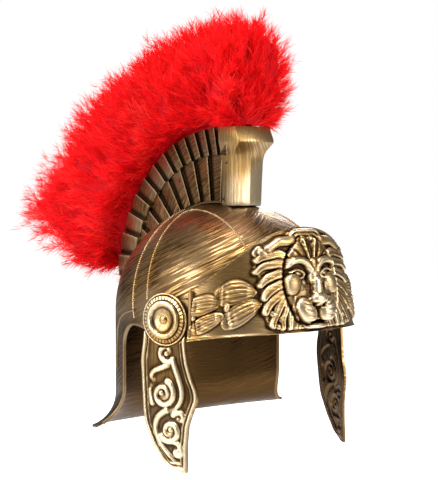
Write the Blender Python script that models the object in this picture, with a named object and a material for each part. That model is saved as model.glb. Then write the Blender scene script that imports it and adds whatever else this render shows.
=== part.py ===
"""A costume-style legionary helmet: bowl, brow band with a lion mask, cheek guards, crest box and plume.

Metres, +Z up. X is the wearer's left, the face looks along -Y. Everything is modelled about the bowl's
middle axis with heights counted from the rosettes, and then lowered as one so that the origin lies on the
inside of the crown, where the head carries the helmet.
"""

import math

import bmesh
import bpy
from mathutils import Matrix, Vector

# Bowl and neck guard
BOWL_HALF_WIDTH = 0.102
BOWL_FRONT = 0.112
BOWL_REAR = 0.108
BOWL_HEIGHT = 0.1025
PLAN_POWER = 2.15
WALL = 0.002
BOWL_COLUMNS = 40
DOME_ROWS = 9
FLARE_ROWS = 4
BROW_EDGE = -0.009
TEMPLE_EDGE = -0.014
TEMPLE_FRONT = 0.024
TEMPLE_STEP = 0.010
TEMPLE_REAR = 0.018
ARCH_LEAD = 0.012
EAR_ARCH_TOP = -0.008
EAR_ARCH_RADIUS = 0.023
NECK_FRONT = 0.032
NECK_CREASE = -0.072
NECK_CREASE_FALL = 0.22
FLARE_SIDE = 0.025
FLARE_REAR = 0.0185
FLARE_DROP = 0.032
NECK_CORNER_SWEEP = 0.015

# Pivots of the cheek guards, heights along the pivot axis counted from the bowl's face there
PIVOT_BACK = -0.0375
PIVOT_TURN = math.radians(17)
GAP = 0.0003
SHANK_RADIUS = 0.002
SHANK_CLEARANCE = 0.0003
PIVOT_CUT_REACH = 0.010
TAB_THICKNESS = 0.003
GUARD_THICKNESS = 0.003
GUARD_CLEARANCE = 0.0005
ROSETTE_RADIUS = 0.0235
ROSETTE_RISE = 0.0054
ROSETTE_DISH = 0.0026
RIVET_HEAD_RADIUS = 0.0039
RIVET_HEAD_RISE = 0.0022
CLINCH_RADIUS = 0.005
PAD_RADIUS = 0.0065
PAD_RISE = 0.0007
CLINCH_THICKNESS = 0.0016
TURNED_SIDES = 16

# Brow band
BAND_POWER = 2.2
BAND_THICKNESS = 0.0025
BAND_BASE_INSET = 0.001
BAND_BASE_PROUD = 0.0085
BAND_TOP_INSET = 0.005
BAND_TOP_SET_BACK = 0.0085
BAND_BASE_HALF_WIDTH = BOWL_HALF_WIDTH - BAND_BASE_INSET
BAND_BASE_REACH = BOWL_FRONT + PIVOT_BACK + BAND_BASE_PROUD
BAND_TOP_HALF_WIDTH = BOWL_HALF_WIDTH - BAND_TOP_INSET
BAND_TOP_REACH = BOWL_FRONT + PIVOT_BACK - BAND_TOP_SET_BACK
BAND_BASE_END = math.radians(74.6)
BAND_TOP_END = math.radians(71.3)
BAND_TOP_PEAK = 0.081
BAND_TOP_SIDE = 0.028
BAND_ARCH_SPAN = math.radians(88.2)
BAND_ARCH_POWER = 1.5
BAND_BASE_FRONT = -0.011
BAND_BASE_SIDE = -0.018
BAND_SIDE_COLUMNS = 8
BAND_END_GAP = 0.0011
END_WALL = 0.0028
END_WALL_RISE = 0.0055
END_WALL_LOW_INSET = 0.001
END_WALL_TOP_INSET = 0.002
TAB_BACK_RADIUS = 0.018
TAB_SIDES = 10

# Lion mask on the band; its span is a share of the band's length from the middle to an end
MASK_HALF_WIDTH = 0.056
MASK_SPAN = 0.46
MASK_COLUMNS = 22
MASK_ROWS = 18
FACE_RISE = 0.0055
LOCK_RISE = 0.0042
LOCK_COUNT = 13
LOCK_FIRST_BEARING = math.radians(-62)
LOCK_BEARING_SPAN = math.radians(304)
LOCK_TURN_DEGREES = 18

# Leaves on the band's sides
LEAF_RISE = 0.0026
LEAF_ROOT = 0.0013
BERRY_RADIUS = 0.0036

# Cheek guards
GUARD_LENGTH = 0.133
GUARD_HEAD_RADIUS = 0.0205
GUARD_BEND_RADIUS = 0.150
GUARD_SPLAY = 0.035
BORDER_WIDTH = 0.0036
BORDER_RISE = 0.0015
BORDER_START = 0.185
BORDER_END = 0.965
BORDER_STEPS = 8
SCROLL_WIDTH = 0.0034
SCROLL_RISE = 0.0017
SCROLL_STEPS_PER_TURN = 7
RIBBON_ROOT = 0.001
BEND_START = 0.03

# Crest box, an arc about a point on the middle plane
CREST_CENTRE_Y = -0.010
CREST_CENTRE_Z = 0.010
CREST_RADIUS = 0.163
TIER_RADIUS = 0.137
CREST_FRONT_ANGLE = math.radians(97)
CREST_REAR_ANGLE = math.radians(6)
CREST_CORE_HALF_WIDTH = 0.015
CREST_WALL = 0.0025
CREST_FOOT_SINK = 0.004
FACET_ALLOWANCE = 0.0002
CHANNEL_DEPTH = 0.016
CHANNEL_FRONT_ANGLE = math.radians(96)
CHANNEL_REAR_INSET = math.radians(2)
SLAT_ROOT = 0.001
SLAT_STEP = 0.0025
LOWER_HALF_WIDTH = 0.0165
UPPER_HALF_WIDTH = 0.0190
SLAT_FOOT_GAP = 0.003
SLAT_LAP = 0.001
SLAT_LEAD = math.radians(2)
UPPER_SLATS = 12
UPPER_SLAT_FIRST = math.radians(89)
UPPER_SLAT_PITCH = math.radians(4.9)
UPPER_SLAT_GROWTH = math.radians(0.18)
UPPER_SLAT_INSET = math.radians(2)
UPPER_SLAT_OVERRUN = math.radians(0.5)
LOWER_SLATS = 9
LOWER_SLAT_FIRST = math.radians(92.8)
LOWER_SLAT_PITCH = math.radians(9.2)
LOWER_SLAT_INSET = math.radians(0.7)
LOWER_SLAT_END_INSET = math.radians(1)
CREST_SEGMENTS = 18
PROW_HALF_WIDTH = 0.0225
PROW_REACH = 0.044
PROW_TOP_RISE = 0.0005
PROW_BACK = 0.014
PROW_RIDGE = 0.0035
NAIL_HOLE_RADIUS = 0.0011
NAIL_HOLE_DEPTH = 0.0018
NAIL_HOLE_SIDES = 6

# Plume
PLUME_FRONT_LENGTH = 0.095
PLUME_REAR_LENGTH = 0.196
PLUME_GROWTH = 2.9
PLUME_HALF_WIDTH = 0.042
PLUME_REAR_HALF_WIDTH = 0.050
PLUME_FRONT_ANGLE = math.radians(98)
PLUME_REAR_ANGLE = math.radians(9)
PLUME_LEAN = math.radians(8)
PLUME_SECTIONS = 10
PLUME_LIFT = 0.0016
BACKING_RISE = 0.010
BACKING_INSET = math.radians(0.4)
TUFTS_PER_ROW = 7
TUFT_FRONT_RADIUS = 0.015675
TUFT_REAR_RADIUS = 0.022275
TUFT_ROOT_SPREAD = 0.62
TUFT_ROOT_FRONT = math.radians(93)
TUFT_ROOT_REAR = math.radians(15)
TUFT_RIPPLE = 0.035
TUFT_RIPPLE_ALONG = 5.1
TUFT_RIPPLE_ACROSS = 2.3

CROWN_INSIDE = BOWL_HEIGHT - WALL


def clear_scene():
    for obj in list(bpy.data.objects):
        bpy.data.objects.remove(obj)


def material(name, colour, roughness, metallic):
    made = bpy.data.materials.new(name)
    made.use_nodes = True
    shader = made.node_tree.nodes["Principled BSDF"]
    shader.inputs["Base Color"].default_value = (*colour, 1)
    shader.inputs["Roughness"].default_value = roughness
    shader.inputs["Metallic"].default_value = metallic
    return made


def whole_object():
    """The empty that carries every piece and brings the crown's inside to the origin."""
    carrier = bpy.data.objects.new("helmet", None)
    bpy.context.scene.collection.objects.link(carrier)
    carrier.location = (0, 0, -CROWN_INSIDE)
    return carrier


def mesh_from(name, points, faces):
    mesh = bpy.data.meshes.new(name)
    mesh.from_pydata([tuple(point) for point in points], [], faces)
    shape = bmesh.new()
    shape.from_mesh(mesh)
    bmesh.ops.recalc_face_normals(shape, faces=shape.faces)
    bmesh.ops.triangulate(shape, faces=shape.faces)
    shape.to_mesh(mesh)
    shape.free()
    return mesh


def add_object(name, mesh, finish, carrier, place=(0, 0, 0)):
    obj = bpy.data.objects.new(name, mesh)
    bpy.context.scene.collection.objects.link(obj)
    obj.parent = carrier
    obj.location = place
    mesh.materials.clear()
    mesh.materials.append(finish)
    return obj


def helper(name, mesh):
    """A cutter or an added form: it takes part in a Boolean and isn't shown."""
    obj = bpy.data.objects.new(name, mesh)
    bpy.context.scene.collection.objects.link(obj)
    obj.hide_render = True
    obj.display_type = "WIRE"
    return obj


def combine(mesh, others, operation):
    """The mesh after each of the other meshes is joined to it or cut from it."""
    base = helper("base", mesh)
    for other in others:
        step = base.modifiers.new(operation.lower(), "BOOLEAN")
        step.operation = operation
        step.solver = "EXACT"
        step.object = helper("operand", other)
    bpy.context.view_layer.update()
    graph = bpy.context.evaluated_depsgraph_get()
    result = bpy.data.meshes.new_from_object(base.evaluated_get(graph))
    for step in base.modifiers:
        bpy.data.objects.remove(step.object)
    bpy.data.objects.remove(base)
    return result


def mirrored(mesh):
    """A copy for the wearer's left, mirrored in the middle plane with its faces turned back out."""
    copy = mesh.copy()
    copy.transform(Matrix.Diagonal((-1, 1, 1, 1)))
    copy.flip_normals()
    return copy


def smooth_step(value):
    value = min(max(value, 0.0), 1.0)
    return value * value * (3 - 2 * value)


def power_curve(turn, half_width, front, rear, power):
    """A point of an oval with squarer shoulders. Turn 0 is the wearer's left and a quarter turn the back."""
    along, across = math.sin(turn), math.cos(turn)
    share = 2 / power
    x = half_width * math.copysign(abs(across) ** share, across)
    y = (rear if along > 0 else front) * math.copysign(abs(along) ** share, along)
    return x, y


def curve_normal(x, y, half_width, reach, power):
    direction = Vector(
        (
            math.copysign(abs(x) ** (power - 1) / half_width**power, x),
            math.copysign(abs(y) ** (power - 1) / reach**power, y),
            0,
        )
    )
    return direction.normalized()


def bowl_column(turn, inset):
    """Points of the bowl's wall down one column, from beside the crown to the rim of the neck guard."""
    plan = power_curve(
        turn, BOWL_HALF_WIDTH - inset, BOWL_FRONT - inset, BOWL_REAR - inset, PLAN_POWER
    )
    points = []
    for row in range(DOME_ROWS):
        lift = math.radians(90) * (1 - (row + 1) / DOME_ROWS)
        height = (BOWL_HEIGHT - inset) * math.sin(lift)
        points.append(Vector((plan[0] * math.cos(lift), plan[1] * math.cos(lift), height)))
    reach = BOWL_REAR if plan[1] > 0 else BOWL_FRONT
    outward = curve_normal(*plan, BOWL_HALF_WIDTH, reach, PLAN_POWER)
    crease = NECK_CREASE - NECK_CREASE_FALL * (plan[1] - NECK_FRONT)
    flare = FLARE_REAR + (FLARE_SIDE - FLARE_REAR) * math.cos(turn) ** 2
    full_tilt = 2 * math.atan(flare / FLARE_DROP)
    radius = FLARE_DROP / math.sin(full_tilt)
    for row in range(FLARE_ROWS + 1):
        tilt = full_tilt * row / FLARE_ROWS
        out = radius * (1 - math.cos(tilt)) + inset * (1 - math.cos(tilt))
        height = crease - radius * math.sin(tilt) - inset * math.sin(tilt)
        points.append(Vector((*plan, height)) + outward * out)
    return points


def bowl_mesh():
    """The whole bowl as one wall: outside, inside and the rim between them."""
    points = [Vector((0, 0, BOWL_HEIGHT)), Vector((0, 0, BOWL_HEIGHT - WALL))]
    faces = []
    skins = []
    for inset in (0, WALL):
        columns = []
        for column in range(BOWL_COLUMNS):
            start = len(points)
            points += bowl_column(2 * math.pi * column / BOWL_COLUMNS, inset)
            columns.append(list(range(start, len(points))))
        skins.append(columns)
    for crown, columns in enumerate(skins):
        for column in range(BOWL_COLUMNS):
            here, beside = columns[column], columns[(column + 1) % BOWL_COLUMNS]
            faces.append((crown, here[0], beside[0]))
            for row in range(len(here) - 1):
                faces.append((here[row], here[row + 1], beside[row + 1], beside[row]))
    outside, inside = skins
    for column in range(BOWL_COLUMNS):
        after = (column + 1) % BOWL_COLUMNS
        faces.append(
            (outside[column][-1], outside[after][-1], inside[after][-1], inside[column][-1])
        )
    return mesh_from("bowl", points, faces)


def slab(outline, low, high):
    """A closed solid between two planes across X, from an outline of (y, z) points."""
    count = len(outline)
    points = [Vector((x, y, z)) for x in (low, high) for y, z in outline]
    faces = [tuple(range(count)), tuple(range(count, 2 * count))]
    for i in range(count):
        after = (i + 1) % count
        faces.append((i, after, after + count, i + count))
    return mesh_from("slab", points, faces)


def face_and_ear_cutter():
    """What is open below the brow, round the ears and in front of the neck guard, seen from the side."""
    beyond = 2 * BOWL_HALF_WIDTH
    arch = [
        (
            NECK_FRONT - EAR_ARCH_RADIUS + EAR_ARCH_RADIUS * math.sin(turn),
            EAR_ARCH_TOP - EAR_ARCH_RADIUS + EAR_ARCH_RADIUS * math.cos(turn),
        )
        for turn in (math.radians(step * 90 / 6) for step in range(7))
    ]
    corner = NECK_CREASE - FLARE_DROP
    outline = [
        (-beyond, BROW_EDGE),
        (PIVOT_BACK - TEMPLE_FRONT, BROW_EDGE),
        (PIVOT_BACK - TEMPLE_FRONT + TEMPLE_STEP, TEMPLE_EDGE),
        (PIVOT_BACK + TEMPLE_REAR, TEMPLE_EDGE),
        (PIVOT_BACK + TEMPLE_REAR + ARCH_LEAD, (TEMPLE_EDGE + EAR_ARCH_TOP) / 2),
        *arch,
        (NECK_FRONT, NECK_CREASE),
        (NECK_FRONT + 0.3 * NECK_CORNER_SWEEP, NECK_CREASE - 0.45 * FLARE_DROP),
        (NECK_FRONT + NECK_CORNER_SWEEP, corner),
        (NECK_FRONT + 1.5 * NECK_CORNER_SWEEP, corner - FLARE_DROP),
        (-beyond, corner - FLARE_DROP),
    ]
    return slab(outline, -beyond, beyond)


def pivot_point():
    """Where the pivot's axis meets the outside of the bowl, on the wearer's right."""
    share = 1 - (-PIVOT_BACK / BOWL_FRONT) ** PLAN_POWER
    return Vector((-BOWL_HALF_WIDTH * share ** (1 / PLAN_POWER), PIVOT_BACK, 0))


def pivot_frame():
    """Columns: forward along the cheek guard, up, and outward along the pivot's axis."""
    forward = Vector((math.sin(PIVOT_TURN), -math.cos(PIVOT_TURN), 0))
    outward = Vector((-math.cos(PIVOT_TURN), -math.sin(PIVOT_TURN), 0))
    return Matrix((forward, Vector((0, 0, 1)), outward)).transposed()


def from_pivot(forward, up, out):
    """A point given in the right pivot's own directions, relative to the pivot point."""
    return pivot_frame() @ Vector((forward, up, out))


def turned(profile, name):
    """A solid of revolution about the pivot's axis, from (radius, height) points."""
    shape = bmesh.new()
    row = [shape.verts.new(from_pivot(radius, 0, height)) for radius, height in profile]
    edges = [shape.edges.new((row[i], row[i + 1])) for i in range(len(row) - 1)]
    if profile[0][0] > 0:
        edges.append(shape.edges.new((row[-1], row[0])))
    bmesh.ops.spin(
        shape,
        geom=row + edges,
        cent=(0, 0, 0),
        axis=from_pivot(0, 0, 1),
        dvec=(0, 0, 0),
        angle=2 * math.pi,
        steps=TURNED_SIDES,
        use_merge=True,
        use_duplicate=False,
    )
    bmesh.ops.remove_doubles(shape, verts=shape.verts, dist=1e-6)
    bmesh.ops.recalc_face_normals(shape, faces=shape.faces)
    mesh = bpy.data.meshes.new(name)
    shape.to_mesh(mesh)
    shape.free()
    return mesh


def pivot_hole():
    """A cutter for the hole that the rivet's shank passes through, relative to the pivot point."""
    radius = SHANK_RADIUS + SHANK_CLEARANCE
    low, high = -PIVOT_CUT_REACH, PIVOT_CUT_REACH
    return turned([(0, low), (radius, low), (radius, high), (0, high)], "hole")


def moved(mesh, place):
    copy = mesh.copy()
    copy.transform(Matrix.Translation(place))
    return copy


def both_sides(mesh, place):
    """A cutter or a form at the right pivot, and its mirror image at the left one."""
    right = moved(mesh, place)
    return [right, mirrored(right)]


def shell_mesh():
    """The bowl, opened for face and ears, with a flat pad inside each pivot for the rivet's clinch."""
    place = pivot_point()
    opened = combine(bowl_mesh(), [face_and_ear_cutter()], "DIFFERENCE")
    inner, root = -WALL - PAD_RISE, -0.6 * WALL
    pad = turned([(0, inner), (PAD_RADIUS, inner), (PAD_RADIUS, root), (0, root)], "pad")
    padded = combine(opened, both_sides(pad, place), "UNION")
    return combine(padded, both_sides(pivot_hole(), place), "DIFFERENCE")


def guard_level():
    """Height of the cheek guard's inner face over the bowl at the pivot."""
    return GAP + TAB_THICKNESS + GUARD_CLEARANCE


def rosette_level():
    return guard_level() + GUARD_THICKNESS + GUARD_CLEARANCE


def rosette_mesh():
    """A turned boss: thin outer flange, segment ring, raised ring and dished middle."""
    low = rosette_level()
    bore = SHANK_RADIUS + SHANK_CLEARANCE
    shares = (
        (1.0, 0.0),
        (1.0, 0.22),
        (0.945, 0.30),
        (0.90, 0.22),
        (0.88, 0.44),
        (0.77, 0.50),
        (0.75, 0.74),
        (0.62, 0.96),
        (0.52, 1.0),
        (0.40, 0.82),
        (0.24, ROSETTE_DISH / ROSETTE_RISE),
    )
    profile = [(bore, low)]
    profile += [(ROSETTE_RADIUS * r, low + ROSETTE_RISE * h) for r, h in shares]
    profile.append((bore, low + ROSETTE_DISH))
    return turned(profile, "rosette")


def rivet_mesh():
    """Head on the rosette's dish, shank through everything, and the clinched end inside the bowl."""
    seat = rosette_level() + ROSETTE_DISH + GAP
    inner = -WALL - PAD_RISE - GAP
    profile = [
        (0, inner - CLINCH_THICKNESS),
        (CLINCH_RADIUS, inner - CLINCH_THICKNESS),
        (CLINCH_RADIUS, inner),
        (SHANK_RADIUS, inner),
        (SHANK_RADIUS, seat),
        (RIVET_HEAD_RADIUS, seat),
        (RIVET_HEAD_RADIUS, seat + 0.4 * RIVET_HEAD_RISE),
        (0.62 * RIVET_HEAD_RADIUS, seat + 0.88 * RIVET_HEAD_RISE),
        (0, seat + RIVET_HEAD_RISE),
    ]
    return turned(profile, "rivet")


def band_point(along, up, out=0.0):
    """A point over the band's outer face. Along runs -1 to 1 from right to left, up 0 to 1."""
    ends = []
    for end_turn, half_width, reach, height in (
        (BAND_BASE_END, BAND_BASE_HALF_WIDTH, BAND_BASE_REACH, band_base(along)),
        (BAND_TOP_END, BAND_TOP_HALF_WIDTH, BAND_TOP_REACH, band_top(along)),
    ):
        turn = along * end_turn
        x, y = power_curve(turn - math.pi / 2, half_width, reach, reach, BAND_POWER)
        outward = curve_normal(x, y, half_width, reach, BAND_POWER)
        ends.append(Vector((x, y + PIVOT_BACK, height)) + outward * out)
    return ends[0].lerp(ends[1], up)


def band_base(along):
    return BAND_BASE_FRONT + (BAND_BASE_SIDE - BAND_BASE_FRONT) * abs(along) ** 3


def band_top(along):
    arch = math.cos(min(abs(along), 1.0) * BAND_ARCH_SPAN) ** BAND_ARCH_POWER
    return BAND_TOP_SIDE + (BAND_TOP_PEAK - BAND_TOP_SIDE) * arch


def band_stations():
    """Places along the band, close together across the mask and wide apart beside it."""
    side = [
        MASK_SPAN + (1 - MASK_SPAN) * i / BAND_SIDE_COLUMNS for i in range(1, BAND_SIDE_COLUMNS + 1)
    ]
    middle = [MASK_SPAN * (2 * i / MASK_COLUMNS - 1) for i in range(MASK_COLUMNS + 1)]
    return [-along for along in reversed(side)] + middle + side


def band_wall():
    """The band as one wall: its outer skin carries the mask, the rest of it is plain."""
    points, outer, faces = [], [], []
    for along in band_stations():
        masked = abs(along) < MASK_SPAN + 0.001
        rows = MASK_ROWS if masked else 1
        column = []
        for row in range(rows + 1):
            up = row / rows
            across = band_point(along, up).x / MASK_HALF_WIDTH
            raised = masked and 0 < row < rows and abs(along) < MASK_SPAN - 0.001
            column.append(len(points))
            points.append(band_point(along, up, mask_height(across, up) if raised else 0.0))
        outer.append(column)
        points += [band_point(along, up, -BAND_THICKNESS) for up in (0, 1)]
    for here, beside in zip(outer, outer[1:]):
        if len(here) == len(beside):
            for row in range(len(here) - 1):
                faces.append((here[row], beside[row], beside[row + 1], here[row + 1]))
        else:
            faces.append(tuple(here + beside[::-1]))
        low, next_low = here[-1] + 1, beside[-1] + 1
        faces.append((low, next_low, next_low + 1, low + 1))
        faces.append((here[0], beside[0], next_low, low))
        faces.append((here[-1], beside[-1], next_low + 1, low + 1))
    for end in (outer[0], outer[-1]):
        faces.append((end[0], end[-1], end[-1] + 2, end[-1] + 1))
    return mesh_from("band", points, faces)


def cap(across, up, centre, size, turn_degrees=0.0):
    """1 in the middle of an oval and 0 from its edge on."""
    turn = math.radians(turn_degrees)
    dx, dz = across - centre[0], up - centre[1]
    along = (dx * math.cos(turn) + dz * math.sin(turn)) / size[0]
    beside = (-dx * math.sin(turn) + dz * math.cos(turn)) / size[1]
    inside = 1 - along * along - beside * beside
    return max(inside, 0.0) ** 0.75


# The mane's ring of locks and the size of a lock, as shares of the mask's half width and height.
LOCK_RING_UP = 0.50
LOCK_RING_HALF_WIDTH = 0.74
LOCK_RING_HALF_HEIGHT = 0.40
LOCK_HALF_LENGTH = 0.27
LOCK_HALF_WIDTH = 0.085

# Forms of the lion's face: centre across and up, half sizes, turn in degrees, rise. Across and up are
# shares of the mask's half width and height, the rise a share of the face's.
FACE_FORMS = (
    ("skull", 0.00, 0.52, 0.62, 0.46, 0, 0.85),
    ("brow", 0.30, 0.665, 0.25, 0.075, 28, 0.42),
    ("eye_hollow", 0.27, 0.565, 0.16, 0.055, 8, -0.40),
    ("eyeball", 0.27, 0.575, 0.085, 0.040, 0, 0.36),
    ("nose_bridge", 0.00, 0.50, 0.11, 0.24, 0, 0.55),
    ("nose_tip", 0.00, 0.335, 0.20, 0.070, 0, 0.50),
    ("muzzle", 0.18, 0.225, 0.22, 0.115, -20, 0.75),
    ("mouth", 0.00, 0.145, 0.26, 0.030, 0, -0.45),
    ("chin", 0.00, 0.085, 0.22, 0.070, 0, 0.55),
    ("cheek", 0.45, 0.44, 0.17, 0.130, 15, 0.42),
    ("forehead_fold", 0.10, 0.79, 0.07, 0.120, 15, 0.40),
    ("ear", 0.82, 0.76, 0.13, 0.085, 0, 0.75),
)


def mask_height(across, up):
    """How far the mask stands out of the band at a point, in metres."""
    face = 0.0
    for _, centre_across, centre_up, half_across, half_up, turn, rise in FACE_FORMS:
        for side in (1,) if centre_across == 0 else (1, -1):
            centre = (side * centre_across, centre_up)
            face += rise * cap(across, up, centre, (half_across, half_up), side * turn)
    mane = 0.0
    for lock in range(LOCK_COUNT):
        bearing = LOCK_FIRST_BEARING + LOCK_BEARING_SPAN * lock / (LOCK_COUNT - 1)
        from_middle = LOCK_RING_HALF_WIDTH * math.cos(bearing)
        over_middle = LOCK_RING_HALF_HEIGHT * math.sin(bearing)
        centre = (from_middle, LOCK_RING_UP + over_middle)
        turn = math.degrees(math.atan2(over_middle, from_middle)) + LOCK_TURN_DEGREES
        mane = max(mane, cap(across, up, centre, (LOCK_HALF_LENGTH, LOCK_HALF_WIDTH), turn))
    return max(FACE_RISE * face, LOCK_RISE * mane, 0.0)


def band_end_box():
    """The wall at the band's end that turns in to the tab, relative to the pivot point."""
    near = ROSETTE_RADIUS + BAND_END_GAP
    corners = [
        from_pivot(forward, up, out)
        for forward in (near, near + END_WALL)
        for up in (BAND_BASE_SIDE + END_WALL_LOW_INSET, BAND_TOP_SIDE - END_WALL_TOP_INSET)
        for out in (GAP + 0.25 * TAB_THICKNESS, GAP + TAB_THICKNESS + END_WALL_RISE)
    ]
    faces = [(0, 1, 3, 2), (4, 6, 7, 5), (0, 4, 5, 1), (2, 3, 7, 6), (0, 2, 6, 4), (1, 5, 7, 3)]
    return mesh_from("band_end", corners, faces)


def tab_mesh():
    """The tab between bowl and cheek guard: round about the pivot, straight forward into the end wall."""
    forward = ROSETTE_RADIUS + BAND_END_GAP + 0.6 * END_WALL
    outline = [
        (-TAB_BACK_RADIUS * math.cos(turn), TAB_BACK_RADIUS * math.sin(turn))
        for turn in (math.radians(90 - 180 * step / TAB_SIDES) for step in range(TAB_SIDES + 1))
    ]
    outline += [(forward, -0.9 * TAB_BACK_RADIUS), (forward, TAB_BACK_RADIUS)]
    outline = [(a, max(b, 0.85 * BAND_BASE_SIDE)) for a, b in outline]
    count = len(outline)
    points = [
        from_pivot(a, b, level) for level in (GAP, GAP + TAB_THICKNESS) for a, b in outline
    ]
    faces = [tuple(range(count)), tuple(range(count, 2 * count))]
    for i in range(count):
        after = (i + 1) % count
        faces.append((i, after, after + count, i + count))
    return mesh_from("tab", points, faces)


# Leaves of one side: root and tip as (share of the band's length from the middle, share of its height)
# and the leaf's half width as a share of the band's end height.
LEAVES = (
    ("upper_front", 0.72, 0.46, 0.48, 0.50, 0.17),
    ("lower_front", 0.70, 0.24, 0.46, 0.40, 0.16),
    ("upper_rear", 0.94, 0.46, 0.76, 0.47, 0.17),
    ("lower_rear", 0.93, 0.16, 0.74, 0.25, 0.16),
)
BERRIES = (("front", 0.715, 0.35), ("rear", 0.905, 0.34))


def leaf_mesh(root_along, root_up, tip_along, tip_up, half_share, side):
    """A pointed leaf with a raised middle rib, rooted in the band's wall."""
    half = half_share * (BAND_TOP_SIDE - BAND_BASE_SIDE)
    stations = 6
    points = []
    for step in range(stations + 1):
        share = step / stations
        along = root_along + (tip_along - root_along) * share
        up = root_up + (tip_up - root_up) * share
        tall = band_top(along) - band_base(along)
        spread = half * math.sin(math.pi * min(share * 0.9 + 0.08, 1)) ** 0.8 / tall
        rise = LEAF_RISE * (0.35 + 0.65 * math.sin(math.pi * share))
        for offset, out in ((-spread, 0.25 * rise), (0, rise), (spread, 0.25 * rise)):
            points.append(band_point(side * along, up + offset, out))
        points.append(band_point(side * along, up, -LEAF_ROOT))
    faces = []
    for step in range(stations):
        here = 4 * step
        for corner in range(4):
            after = (corner + 1) % 4
            faces.append((here + corner, here + after, here + 4 + after, here + 4 + corner))
    faces += [(0, 1, 2, 3), tuple(4 * stations + corner for corner in range(4))]
    return mesh_from("leaf", points, faces)


def berry_mesh(along, up, side):
    """A small ball between the leaves."""
    centre = band_point(side * along, up, 0.05 * BERRY_RADIUS)
    shape = bmesh.new()
    bmesh.ops.create_icosphere(shape, subdivisions=1, radius=BERRY_RADIUS)
    bmesh.ops.translate(shape, verts=shape.verts, vec=centre)
    mesh = bpy.data.meshes.new("berry")
    shape.to_mesh(mesh)
    shape.free()
    return mesh


def brow_band_mesh():
    place = pivot_point()
    ends = both_sides(band_end_box(), place) + both_sides(tab_mesh(), place)
    relief = []
    for side in (1, -1):
        relief += [leaf_mesh(*sizes, side) for _, *sizes in LEAVES]
        relief += [berry_mesh(along, up, side) for _, along, up in BERRIES]
    band = combine(band_wall(), ends + relief, "UNION")
    holes = both_sides(pivot_hole(), place)
    return combine(band, holes, "DIFFERENCE")


# Outline of a cheek guard: depth below the pivot as a share of its length, then the front and the rear
# edge, forward of the pivot, as shares of the length.
GUARD_EDGES = (
    ("under_rosette", 0.160, 0.160, -0.178),
    ("neck", 0.290, 0.180, -0.200),
    ("swell", 0.385, 0.208, -0.196),
    ("point", 0.460, 0.243, -0.190),
    ("bulge", 0.520, 0.251, -0.184),
    ("under_bulge", 0.606, 0.218, -0.176),
    ("waist", 0.690, 0.190, -0.160),
    ("lower", 0.830, 0.180, -0.084),
    ("toe_side", 0.945, 0.184, 0.012),
    ("toe", 1.000, 0.182, 0.140),
)
GUARD_ROWS = 17
GUARD_HEAD_ROWS = 5


def between(table, share, column):
    """The value of a column of a table of sections, eased from row to row."""
    rows = list(table)
    for low, high in zip(rows, rows[1:]):
        if share <= high[1]:
            part = (share - low[1]) / (high[1] - low[1])
            return low[column] + (high[column] - low[column]) * part
    return rows[-1][column]


def guard_edges(depth):
    """Front and rear edge of the cheek guard at a depth below the pivot, in metres."""
    share = depth / GUARD_LENGTH
    first = GUARD_EDGES[0]
    if share >= first[1]:
        return tuple(GUARD_LENGTH * between(GUARD_EDGES, share, column) for column in (2, 3))
    round_part = math.sqrt(max(GUARD_HEAD_RADIUS**2 - depth**2, 0))
    if depth < 0:
        return round_part, -round_part
    part = smooth_step(share / first[1])
    front = GUARD_HEAD_RADIUS + (GUARD_LENGTH * first[2] - GUARD_HEAD_RADIUS) * part
    rear = -GUARD_HEAD_RADIUS + (GUARD_LENGTH * first[3] + GUARD_HEAD_RADIUS) * part
    return front, rear


def guard_face(forward, depth):
    """Height of the guard's outer face over the bowl: flat under the rosette, then bent and splayed."""
    below = max(depth - ROSETTE_RADIUS, 0.0)
    bend = smooth_step(below / BEND_START) * forward**2 / (2 * GUARD_BEND_RADIUS)
    return guard_level() + GUARD_THICKNESS - bend + GUARD_SPLAY * below


def guard_plate():
    depths = [-0.97 * GUARD_HEAD_RADIUS * math.cos(math.pi / 2 * i / GUARD_HEAD_ROWS)
              for i in range(GUARD_HEAD_ROWS)]
    depths += [GUARD_LENGTH * i / GUARD_ROWS for i in range(GUARD_ROWS + 1)]
    spans = 3
    points, faces = [], []
    for depth in depths:
        front, rear = guard_edges(depth)
        for drop in (0, GUARD_THICKNESS):
            for i in range(spans + 1):
                forward = rear + (front - rear) * i / spans
                height = guard_face(forward, depth) - drop
                points.append(from_pivot(forward, -depth, height))
    wide = 2 * (spans + 1)
    ring = list(range(spans + 1)) + list(range(wide - 1, spans, -1))
    for row in range(len(depths) - 1):
        for i, corner in enumerate(ring):
            after = ring[(i + 1) % len(ring)]
            start = row * wide
            faces.append(
                (start + corner, start + after, start + wide + after, start + wide + corner)
            )
    faces += [tuple(ring), tuple((len(depths) - 1) * wide + corner for corner in ring)]
    return mesh_from("plate", points, faces)


def ribbon(path, width, rise, taper_ends=True):
    """A raised strip along (forward, depth) points on the guard's outer face, rooted in the plate."""
    points, faces = [], []
    last = len(path) - 1
    for i, here in enumerate(path):
        before, after = path[max(i - 1, 0)], path[min(i + 1, last)]
        run = Vector((after[0] - before[0], after[1] - before[1])).normalized()
        beside = Vector((-run.y, run.x))
        share = min(i, last - i) / (0.25 * last)
        half = width / 2 * (0.45 + 0.55 * min(share, 1) if taper_ends else 1)
        for offset, out in ((-1, -RIBBON_ROOT), (-0.75, rise), (0.75, rise), (1, -RIBBON_ROOT)):
            spot = Vector(here) + beside * (half * offset)
            height = guard_face(spot.x, spot.y) + out
            points.append(from_pivot(spot.x, -spot.y, height))
    for i in range(last):
        start = 4 * i
        for corner in range(4):
            after = (corner + 1) % 4
            faces.append((start + corner, start + after, start + 4 + after, start + 4 + corner))
    faces += [(0, 1, 2, 3), tuple(4 * last + corner for corner in range(4))]
    return mesh_from("ribbon", points, faces)


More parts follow.
